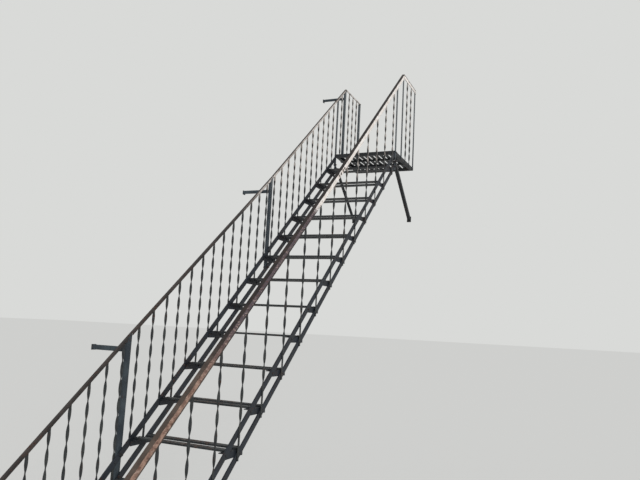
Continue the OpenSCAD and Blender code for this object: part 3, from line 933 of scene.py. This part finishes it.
print("pickets stand at", round(LEFT_PICKET_X, 4), "and", round(RIGHT_PICKET_X, 4), "across the flight")

# %% Pickets of the flight
# each picket's place, and whether it goes down to the lower bar, as it does at a tread
LEFT_PICKETS = [(GOING * half / 2, half > 0 and half % 2 == 0) for half in range(2 * TREADS + 1)]
RIGHT_PICKETS = [(GOING * step, step > 0) for step in range(TREADS + 1)]
HEAD_PICKET_Y = (HEAD_POST_BACK + TOP_POST_Y) / 2
# the numbers of the pickets that are the first on the next length of rail
LEFT_MIDDLE_FIRST = 7
LEFT_UPPER_FIRST = 20
RIGHT_UPPER_FIRST = 10
left_row = [string_picket(LEFT_PICKET_X, y, low, LEFT_RAIL, LEFT_RAIL_LEG) for y, low in LEFT_PICKETS]
left_row.append(landing_picket(LEFT_PICKET_X, HEAD_PICKET_Y, LEFT_RAIL,
                               LEFT_RAIL_LEG / math.cos(PITCH), RAIL_DROP + PICKET_DROP))
right_row = [string_picket(RIGHT_PICKET_X, y, low, RIGHT_RAIL, RIGHT_RAIL_LEG) for y, low in RIGHT_PICKETS]
rows = {
    "left_pickets_lower": left_row[:LEFT_MIDDLE_FIRST],
    "left_pickets_middle": left_row[LEFT_MIDDLE_FIRST:LEFT_UPPER_FIRST],
    "left_pickets_upper": left_row[LEFT_UPPER_FIRST:],
    "right_pickets_lower": right_row[:RIGHT_UPPER_FIRST],
    "right_pickets_upper": right_row[RIGHT_UPPER_FIRST:],
}
for node_name, parts in rows.items():
    finish_piece(parts, node_name.replace("pickets", "twisted_pickets"), picket_finish,
                 replaced=[node_name])

# %% [markdown]
# The guard on each side of the landing is one node, with its rail, posts and
# pickets. Its pickets turn in coarse steps too, so the whole guard is made
# again: bars and angles from blocks with softened edges, and pickets from
# the same twisted bars. Its rail, posts and pickets become three pieces,
# because each has the finish of its own kind.


# %% Bars and angles of a guard
def upright_under_rail(x0, x1, y, width, line):
    """A flat bar cut to the underside of a rail that bends over its middle."""
    top = along(line, y) - RAIL_DROP - SEAT_GAP
    bar = block((x0, y - width / 2, LANDING_BOTTOM), (x1, y + width / 2, top))
    if y == TOP_POST_Y:
        fall = along(line, y - width / 2) - along(line, y)
        edit("faces", everything, bpy.ops.mesh.bisect, plane_co=(x0, y, top), plane_no=(0, 1, 0))
        edit("verts", lambda v: abs(v.co.z - top) < SAME and v.co.y < y - width / 4,
             bpy.ops.transform.translate, value=(0, 0, fall))
    soften()
    return bar


def level_rail(face_x, flange, leg, start, end, line):
    """An angle over the landing: a flat leg on top, and an outer leg that stands from start to end."""
    top = line[-1][1]
    flat = block((face_x - flange, TOP_POST_Y + RAIL_JOINT, top - RAIL_THICKNESS),
                 (face_x, LANDING_BACK, top))
    soften()
    stand = block((face_x - RAIL_THICKNESS, start, top - leg), (face_x, end, top - RAIL_THICKNESS / 2))
    soften()
    return [flat, stand]


# %% The three pieces of a guard
def between(start, end, gaps):
    """Places that part the way from start to end into equal gaps."""
    return [start + (end - start) * i / gaps for i in range(1, gaps)]


def finish_guard(side, rail, rail_finish, posts, pickets):
    """Makes one guard's three pieces, of which the rail stands for the node."""
    finish_piece(rail, side + "_guard_rail", rail_finish, replaced=[side + "_landing_guard"])
    finish_piece(posts, side + "_guard_posts", post_finish)
    finish_piece(pickets, side + "_guard_pickets", picket_finish)


# %% The left guard
LEFT_RAIL_FACE = RAIL_THICKNESS - STRING_FACE
LEFT_GUARD_YS = between(TOP_POST_Y, BACK_POST_Y, 4)
POST_FACE = -STRING_FACE - POST_THICKNESS
POST_CLEARANCE = POST_WIDTH / 2 + POST_GAP
rail = level_rail(LEFT_RAIL_FACE, LEFT_RAIL_LEG, LEFT_RAIL_LEG,
                  TOP_POST_Y + POST_CLEARANCE, BACK_POST_Y - POST_CLEARANCE, LEFT_RAIL)
posts = [upright_under_rail(POST_FACE, -STRING_FACE, y, POST_WIDTH, LEFT_RAIL)
         for y in (TOP_POST_Y, BACK_POST_Y)]
pickets = [landing_picket(LEFT_PICKET_X, y, LEFT_RAIL, LEFT_RAIL_LEG, RAIL_THICKNESS)
           for y in LEFT_GUARD_YS]
finish_guard("left", rail, left_rail_finish, posts, pickets)

# %% The right guard
RIGHT_RAIL_FACE = RIGHT_OUTSIDE + RAIL_THICKNESS
RIGHT_GUARD_YS = between(TOP_POST_Y, END_POST_Y, 3)
rail = level_rail(RIGHT_RAIL_FACE, RIGHT_RAIL_FLANGE, RIGHT_RAIL_LEG,
                  TOP_POST_Y + RAIL_JOINT, LANDING_BACK, RIGHT_RAIL)
posts = [upright_under_rail(WIDTH + STRING_FACE, RIGHT_OUTSIDE, y, UPRIGHT_WIDTH, RIGHT_RAIL)
         for y in (TOP_POST_Y, END_POST_Y)]
pickets = [landing_picket(RIGHT_PICKET_X, y, RIGHT_RAIL, RIGHT_RAIL_LEG, RAIL_THICKNESS)
           for y in RIGHT_GUARD_YS]
finish_guard("right", rail, worn_rail_and_painted_light_finish, posts, pickets)
discard(*bars.values())

# %% [markdown]
# ## Rivets
# The bars are joined by snap-head rivets, set hot through both thicknesses,
# so there is a dome on each side. There are hundreds, so each dome has only
# a few dozen faces: a small sphere, cut in half and flattened.


# %% One rivet head
def rivet_head(radius_mm, height_mm):
    """A dome that stands on Z = 0."""
    deselect()
    bpy.ops.mesh.primitive_uv_sphere_add(segments=10, ring_count=6, radius=radius_mm / 1000)
    head = bpy.context.object
    edit("faces", everything, bpy.ops.mesh.bisect, plane_co=(0, 0, 0), plane_no=(0, 0, 1),
         clear_inner=True, use_fill=True)
    head.scale = (1, 1, height_mm / radius_mm)
    bpy.ops.object.transform_apply(location=True, rotation=True, scale=True)
    return head


small_rivet = rivet_head(radius_mm=5.5, height_mm=3.8)
large_rivet = rivet_head(radius_mm=8.0, height_mm=5.6)
print("rivet heads with", len(small_rivet.data.polygons), "faces")

# %% Where a head goes
TOWARDS = {
    "+X": Matrix.Rotation(math.radians(90), 4, "Y"),
    "-X": Matrix.Rotation(math.radians(-90), 4, "Y"),
    "-Y": Matrix.Rotation(math.radians(90), 4, "X"),
    "+Z": Matrix.Identity(4),
    "-Z": Matrix.Rotation(math.radians(180), 4, "X"),
}
draw = random.Random(7)


def facing(way, x, y, z):
    """A place on a face, with a random turn about its own axis."""
    spin = Matrix.Rotation(draw.uniform(0, math.tau), 4, "Z")
    return Matrix.Translation((x, y, z)) @ TOWARDS[way] @ spin


print("a head can face", *TOWARDS)

# %% Rivets of the pickets
LEFT_FOOT = (("+X", STRING_FACE), ("-X", LEFT_OUTSIDE))
RIGHT_FOOT = (("-X", WIDTH - STRING_FACE), ("+X", RIGHT_OUTSIDE))
PLATE_CLEARANCE = 0.012


def picket_rivets(side, foot_faces, pickets, line, leg, rail_face, rail_finish):
    """Heads on both sides of each picket's foot and head. None is set so low that it meets a foot plate."""
    feet, heads = [], []
    for y, goes_down in pickets:
        lifts = [UPPER_LIFT, LOWER_LIFT] if goes_down else [UPPER_LIFT]
        for z in [SLOPE * y + lift for lift in lifts]:
            if z > FOOT_THICKNESS + PLATE_CLEARANCE:
                feet += [facing(way, x, y, z) for way, x in foot_faces]
        z = along(line, y) - (leg / math.cos(PITCH) + RAIL_DROP) / 2
        heads.append(facing("+X", rail_face, y, z))
        heads.append(facing("-X", rail_face - RAIL_THICKNESS - PICKET_THICKNESS, y, z))
    finish_piece(copies(small_rivet, feet), side + "_picket_foot_rivets", rivet_finish)
    finish_piece(copies(small_rivet, heads), side + "_picket_head_rivets", rail_finish)


picket_rivets("left", LEFT_FOOT, LEFT_PICKETS, LEFT_RAIL, LEFT_RAIL_LEG, LEFT_RAIL_FACE,
              left_rail_finish)
picket_rivets("right", RIGHT_FOOT, RIGHT_PICKETS, RIGHT_RAIL, RIGHT_RAIL_LEG, RIGHT_RAIL_FACE,
              worn_rail_and_painted_light_finish)

# %% Rivets of the brackets and the treads
BRACKET_FACES = (("-X", -STRING_FACE), ("+X", STRING_FACE + BRACKET_THICKNESS),
                 ("+X", WIDTH + STRING_FACE), ("-X", WIDTH - STRING_FACE - BRACKET_THICKNESS))
# where each bar of the string crosses a bracket, away from the bracket's ends
CROSSINGS = ((-0.129, -0.027), (0.023, -0.032))
TREAD_RIVET_INSET = 0.026


def bracket_rivets(step):
    """Heads on both sides of the two brackets under a tread."""
    return [facing(way, x, GOING * step + ahead, RISE * step + up)
            for ahead, up in CROSSINGS for way, x in BRACKET_FACES]


def tread_rivets(step):
    """Heads over and under both ends of a tread's two bars."""
    heads = []
    for side in (-1, 1):
        y = GOING * step - TREAD_LEAD + side * TREAD_BAR_SPACING / 2
        for x in both_sides(TREAD_RIVET_INSET):
            heads.append(facing("+Z", x, y, RISE * step))
            heads.append(facing("-Z", x, y, RISE * step - TREAD_BAR_THICKNESS - BRACKET_THICKNESS))
    return heads


bracket_heads, tread_heads = [], []
for step in range(1, TREADS + 1):
    bracket_heads += bracket_rivets(step)
    tread_heads += tread_rivets(step)
finish_piece(copies(large_rivet, bracket_heads), "bracket_rivets", rivet_finish)
finish_piece(copies(small_rivet, tread_heads), "tread_rivets", rivet_finish)

# %% [markdown]
# Where two lengths of the left rail meet, the flat leg lies over a post and
# each length has its own rivet into the post's end. These heads stand at
# right angles to the slope, so they are tipped by the pitch of the rail.

# %% Rivets on top of the left rail
FLAT_LEG_X = -0.0115
JOINT_RIVET = 0.012
SLOPE_SPAN = 0.005


def on_slope(x, y, line):
    """A place on top of a rail, square to its slope."""
    z0, z1 = along(line, y - SLOPE_SPAN), along(line, y + SLOPE_SPAN)
    tip_back = Matrix.Rotation(math.atan2(z1 - z0, 2 * SLOPE_SPAN), 4, "X")
    return Matrix.Translation((x, y, (z0 + z1) / 2)) @ tip_back


top_ys = [y + side * JOINT_RIVET for y in (LOW_POST_Y, MIDDLE_POST_Y, TOP_POST_Y) for side in (-1, 1)]
rail_tops = [on_slope(FLAT_LEG_X, y, LEFT_RAIL) for y in top_ys + [FOOT_POST_Y, BACK_POST_Y]]
finish_piece(copies(small_rivet, rail_tops), "wall_rail_top_rivets", left_rail_finish)

# %% Rivets through the right rail and its uprights
UPRIGHT_RIVET = 0.010
upright_heads = []
for y in (FOOT_POST_Y, HEAD_POST_Y, TOP_POST_Y, END_POST_Y):
    leg = RIGHT_RAIL_LEG / math.cos(PITCH) if y < TOP_POST_Y else RIGHT_RAIL_LEG
    for place_y in (y - UPRIGHT_RIVET, y + UPRIGHT_RIVET):
        z = along(RIGHT_RAIL, place_y) - (leg + RAIL_DROP) / 2
        upright_heads.append(facing("+X", RIGHT_RAIL_FACE, place_y, z))
        upright_heads.append(facing("-X", WIDTH + STRING_FACE, place_y, z))
guard_z = RIGHT_RAIL[-1][1] - (RIGHT_RAIL_LEG + RAIL_THICKNESS) / 2
upright_heads += [facing("+X", RIGHT_RAIL_FACE, y, guard_z) for y in RIGHT_GUARD_YS]
finish_piece(copies(small_rivet, upright_heads), "open_rail_upright_rivets", worn_rail_and_painted_light_finish)

# %% Rivets of the landing's guards
FRAME_RIVET_Z = (LANDING_BOTTOM + LANDING_LEVEL) / 2
guard_heads = [facing("-X", LEFT_OUTSIDE, y, FRAME_RIVET_Z) for y in [HEAD_PICKET_Y] + LEFT_GUARD_YS]
guard_z = LEFT_RAIL[-1][1] - (LEFT_RAIL_LEG + RAIL_THICKNESS) / 2
guard_heads += [facing("+X", LEFT_RAIL_FACE, y, guard_z) for y in LEFT_GUARD_YS]
upright_ys = [y + side * UPRIGHT_RIVET for y in (TOP_POST_Y, END_POST_Y) for side in (-1, 1)]
guard_heads += [facing("+X", RIGHT_OUTSIDE, y, FRAME_RIVET_Z) for y in RIGHT_GUARD_YS + upright_ys]
head_z = along(LEFT_RAIL, HEAD_PICKET_Y) - (LEFT_RAIL_LEG / math.cos(PITCH) + RAIL_DROP) / 2
guard_heads.append(facing("+X", LEFT_RAIL_FACE, HEAD_PICKET_Y, head_z))
print(len(guard_heads), "heads on the guards")

# %% Rivets of the landing's deck
DECK_INSIDE = 0.008
DECK_BAR_WIDTH = 0.038
DECK_BARS = 12
FIRST_BEARER = 0.036
BEARER_SPACING = 0.224
BEARERS = 4
deck_width = WIDTH + 2 * STRING_FACE - 2 * DECK_INSIDE
bar_step = (deck_width - DECK_BAR_WIDTH) / (DECK_BARS - 1)
first_bearer_y = LANDING_FRONT + DECK_INSIDE + FIRST_BEARER
deck_heads = []
for i in range(DECK_BARS):
    x = DECK_INSIDE - STRING_FACE + DECK_BAR_WIDTH / 2 + i * bar_step
    for y in (first_bearer_y, first_bearer_y + (BEARERS - 1) * BEARER_SPACING):
        deck_heads.append(facing("+Z", x, y, LANDING_LEVEL))
finish_piece(copies(small_rivet, guard_heads), "landing_guard_rivets", rivet_finish)
finish_piece(copies(small_rivet, deck_heads), "landing_deck_rivets", rivet_finish)
discard(small_rivet, large_rivet)

# %% [markdown]
# ## Bolts
# The places that were put together on site are bolted: the splice of the
# right rail, the left posts on the strings, the landing's corners and braces,
# and the anchors of the feet. A hexagon head is a cylinder with six sides
# whose top is inset and raised, so that its rim slopes. A nut is the same
# with the end of the bolt standing out of it. A washer lies under each.

# %% Forms of a bolt and its washer
WASHER_THICKNESS = 0.002
# the washer's radius for each metre across the hexagon's flats, and those flats for each of the stud's
WASHER_RADIUS = 0.62
FLATS_TO_STUD = 3.4
# the chamfer's width and height as shares of the hexagon's radius
RIM_INSET = 0.16
RIM_DEPTH = 0.07
# the thread is drawn as rings, with the pitch of the anchors and their roots at this share of the radius
THREAD_PITCH_MM = 1.75
THREAD_ROOT = 0.86
print("washers", WASHER_THICKNESS * 1000, "mm thick, thread every", THREAD_PITCH_MM, "mm")


# %% Parts of a bolt
def chamfered_hexagon(across_mm, height_mm):
    """A hexagon on a washer. The rim of its top is chamfered where it was turned on a lathe."""
    radius = across_mm / 2000 / math.cos(math.radians(30))
    head = cylinder(sides=6, radius=radius, base=WASHER_THICKNESS, height=height_mm / 1000)
    edit("faces", lambda face: face.normal.z > 0.9, bpy.ops.mesh.inset,
         thickness=radius * RIM_INSET, depth=radius * RIM_DEPTH)
    return head


def threaded_end(across_mm, base, stud_mm):
    """The end of a bolt, whose every second ring is drawn in."""
    stud = cylinder(sides=12, radius=across_mm / 1000 / FLATS_TO_STUD, base=base, height=stud_mm / 1000)
    rings = 2 * max(1, round(stud_mm / THREAD_PITCH_MM))
    edit("edges", upright, bpy.ops.mesh.subdivide, number_cuts=rings - 1)
    for vertex in stud.data.vertices:
        if round((vertex.co.z - base) / (stud_mm / 1000) * rings) % 2:
            vertex.co.x *= THREAD_ROOT
            vertex.co.y *= THREAD_ROOT
    return stud


# %% Bolt heads and nuts
def hexagon(across_mm, height_mm, stud_mm=0):
    """A bolt head on Z = 0 over its washer, or a nut where the bolt's end stands out of it."""
    washer = cylinder(sides=20, radius=across_mm / 1000 * WASHER_RADIUS, base=0, height=WASHER_THICKNESS)
    parts = [washer, chamfered_hexagon(across_mm, height_mm)]
    if stud_mm:
        parts.append(threaded_end(across_mm, WASHER_THICKNESS + height_mm / 1000, stud_mm))
    return joined(parts)


bolt_head = hexagon(across_mm=17, height_mm=7)
nut = hexagon(across_mm=17, height_mm=9, stud_mm=7)
brace_head = hexagon(across_mm=10, height_mm=5)
anchor_nut = hexagon(across_mm=19, height_mm=11, stud_mm=17.5)
print("bolt head", len(bolt_head.data.polygons), "faces, nut", len(nut.data.polygons), "faces")


def finish_bolts(parts, name, material):
    """Bolts keep the edges of their hexagons sharp."""
    finish_piece(parts, name, material, smooth=25)


# %% Bolts of the right rail's splice
SPLICE_BOLTS = (-0.055, -0.022, 0.022, 0.055)
SPLICE_BOLT_DROP = 0.034
splice_heads, splice_nuts = [], []
for y in [SPLICE_Y + offset for offset in SPLICE_BOLTS]:
    z = along(RIGHT_RAIL, y) - SPLICE_BOLT_DROP
    splice_heads.append(facing("+X", RIGHT_RAIL_FACE, y, z))
    splice_nuts.append(facing("-X", WIDTH + STRING_FACE, y, z))
finish_bolts(copies(bolt_head, splice_heads) + copies(nut, splice_nuts), "splice_bolts",
             worn_rail_and_painted_light_finish)

# %% Bolts of the left posts
# the post, how far behind its middle the bolt is, and how high over the line of treads;
# the second bolt is moved clear of a bracket
POST_BOLTS = ((LOW_POST_Y, 0.0, UPPER_LIFT), (LOW_POST_Y, 0.004, -0.037),
              (MIDDLE_POST_Y, 0.0, UPPER_LIFT), (MIDDLE_POST_Y, 0.0, LOWER_LIFT))
post_heads, post_nuts = [], []
for y, behind, lift in POST_BOLTS:
    post_heads.append(facing("-X", POST_FACE, y + behind, SLOPE * y + lift))
    post_nuts.append(facing("+X", STRING_FACE, y + behind, SLOPE * y + lift))
post_heads += [facing("-X", POST_FACE, y, FRAME_RIVET_Z) for y in (TOP_POST_Y, BACK_POST_Y)]
finish_bolts(copies(bolt_head, post_heads) + copies(nut, post_nuts), "wall_post_bolts",
             rivet_finish)

# %% Bolts of the landing's front corners
CORNER_BOLT_INSET = 0.013
BRACE_THICKNESS = 0.005
string_z = SLOPE * HEAD_POST_Y + LOWER_LIFT
brace_z = BRACE_TOP - (HEAD_POST_Y - LANDING_FRONT) * BRACE_FALL / BRACE_REACH
corner_heads, corner_nuts = [], []
for middle, side, out, back in ((0.0, -1, "-X", "+X"), (WIDTH, 1, "+X", "-X")):
    post_x = middle + side * (STRING_FACE + PICKET_THICKNESS)
    corner_heads.append(facing(out, post_x, HEAD_POST_Y, string_z))
    corner_nuts.append(facing(back, middle - side * STRING_FACE, HEAD_POST_Y, string_z))
    corner_heads.append(facing(out, post_x, HEAD_POST_BACK - CORNER_BOLT_INSET, FRAME_RIVET_Z))
    corner_heads.append(facing(out, post_x + side * BRACE_THICKNESS, HEAD_POST_Y, brace_z))
    corner_nuts.append(facing(back, middle + side * STRING_FACE, HEAD_POST_Y, brace_z))
finish_bolts(copies(bolt_head, corner_heads) + copies(nut, corner_nuts), "landing_corner_bolts",
             rivet_finish)

# %% Bolts at the braces' ends, and anchors of the feet
BRACE_PLATE_FACE = BRACE_END_Y - 0.008
BRACE_BOLT_INSET = 0.002
BRACE_BOLT_OFFSET = 0.0265
ANCHOR_INSET = 0.036
ANCHOR_OFFSET = 0.100
brace_ends = [facing("-Y", x, BRACE_PLATE_FACE, BRACE_END_Z + side * BRACE_BOLT_OFFSET)
              for x in both_sides(BRACE_BOLT_INSET) for side in (-1, 1)]
finish_bolts(copies(brace_head, brace_ends), "brace_end_bolts", rivet_finish)
anchors = [facing("+Z", x, y, FOOT_THICKNESS)
           for x in both_sides(ANCHOR_INSET) for y in (-ANCHOR_OFFSET, ANCHOR_OFFSET)]
finish_bolts(copies(anchor_nut, anchors), "foot_anchor_nuts", zinc_finish)
discard(bolt_head, nut, brace_head, anchor_nut)

# %% [markdown]
# ## Welds
# Later repairs are arc welded: the feet on their plates, the stays on the
# posts and on their end plates, the landing's corners, the strings on its
# frame and the braces on their plates. A bead is a half-round fillet, rippled
# every 3 mm where the electrode paused. Each is a short cylinder cut into
# rings, whose rings are swollen by turns and a little at random.

# %% One weld bead between two points
RIPPLE = 0.0030
# the width of a bead's ends, of its leanest rings, and what each second ring has over them
BEAD_END = 0.55
BEAD_LEAN = 0.82
BEAD_SWELL = 0.16
print("ripples every", RIPPLE * 1000, "mm")


def weld_bead(start, end, radius_mm):
    """A rippled bead from start to end."""
    start, end = Vector(start), Vector(end)
    length = (end - start).length
    bead = cylinder(sides=8, radius=radius_mm / 1000, base=-length / 2, height=length)
    rings = max(3, round(length / RIPPLE))
    edit("edges", upright, bpy.ops.mesh.subdivide, number_cuts=rings - 1)
    swell = [draw.uniform(BEAD_LEAN, 1.0) + (BEAD_SWELL if ring % 2 else 0.0) for ring in range(rings + 1)]
    swell[0] = swell[-1] = BEAD_END
    for vertex in bead.data.vertices:
        ring = min(rings, max(0, round((vertex.co.z / length + 0.5) * rings)))
        vertex.co.x *= swell[ring]
        vertex.co.y *= swell[ring]
    turn_to = (end - start).to_track_quat("Z", "Y").to_matrix().to_4x4()
    bead.data.transform(Matrix.Translation((start + end) / 2) @ turn_to)
    return bead


# %% Beads at the feet
STRING_FACES = (-STRING_FACE, STRING_FACE, WIDTH - STRING_FACE, WIDTH + STRING_FACE)
POST_BEAD = 0.019
BEAD_INSET = 0.001
foot_z = FOOT_THICKNESS
foot_welds = []
post_beads = ((POST_FACE, 3.5), (-STRING_FACE, 3.5), (WIDTH + STRING_FACE, 3.0), (RIGHT_OUTSIDE, 3.0))
for x, radius_mm in post_beads:
    foot_welds.append(weld_bead((x, FOOT_POST_Y - POST_BEAD, foot_z), (x, FOOT_POST_Y + POST_BEAD, foot_z),
                                radius_mm))
for lift in (UPPER_LIFT, LOWER_LIFT):
    y0 = (foot_z - lift - CHORD_HALF_HEIGHT) / SLOPE + BEAD_INSET
    y1 = (foot_z - lift + CHORD_HALF_HEIGHT) / SLOPE - BEAD_INSET
    foot_welds += [weld_bead((x, y0, foot_z), (x, y1, foot_z), radius_mm=3.2) for x in STRING_FACES]
finish_piece(foot_welds, "foot_welds", rivet_finish)

# %% Beads at both ends of the stays
STAY_DROPS = ((LOW_POST_Y, 0.096), (MIDDLE_POST_Y, 0.135), (TOP_POST_Y, 0.122))
STAY_PLATE_FACE = -0.287
STAY_HALF = 0.015
STAY_BEAD = 0.014
stay_welds = []
for y, drop in STAY_DROPS:
    z = along(LEFT_RAIL, y) - drop
    for x in (POST_FACE, STAY_PLATE_FACE):
        top = z + STAY_HALF
        front = y - STAY_HALF
        stay_welds.append(weld_bead((x, y - STAY_BEAD, top), (x, y + STAY_BEAD, top), radius_mm=2.6))
        stay_welds.append(weld_bead((x, front, z - STAY_BEAD), (x, front, z + STAY_BEAD), radius_mm=2.6))
finish_piece(stay_welds, "stay_welds", rivet_finish)

# %% Beads at the landing and the braces' ends
STRING_BEAD_TOP = SLOPE * LANDING_FRONT + UPPER_LIFT + 0.022
BRACE_BEAD_DROP = 0.0205
BRACE_BEAD = (-0.014, 0.018)
frame_welds = []
for x in both_sides(-STRING_FACE):
    for y in (LANDING_FRONT, LANDING_BACK):
        frame_welds.append(weld_bead((x, y, LANDING_BOTTOM + BEAD_INSET), (x, y, LANDING_LEVEL - BEAD_INSET),
                                     radius_mm=2.2))
for x in STRING_FACES:
    frame_welds.append(weld_bead((x, LANDING_FRONT, LANDING_BOTTOM + 2 * BEAD_INSET),
                                 (x, LANDING_FRONT, STRING_BEAD_TOP), radius_mm=2.6))
for x0, x1 in (BRACE_BEAD, (WIDTH - BRACE_BEAD[1], WIDTH - BRACE_BEAD[0])):
    z = BRACE_END_Z - BRACE_BEAD_DROP
    frame_welds.append(weld_bead((x0, BRACE_PLATE_FACE, z), (x1, BRACE_PLATE_FACE, z), radius_mm=2.4))
finish_piece(frame_welds, "frame_welds", rivet_finish)
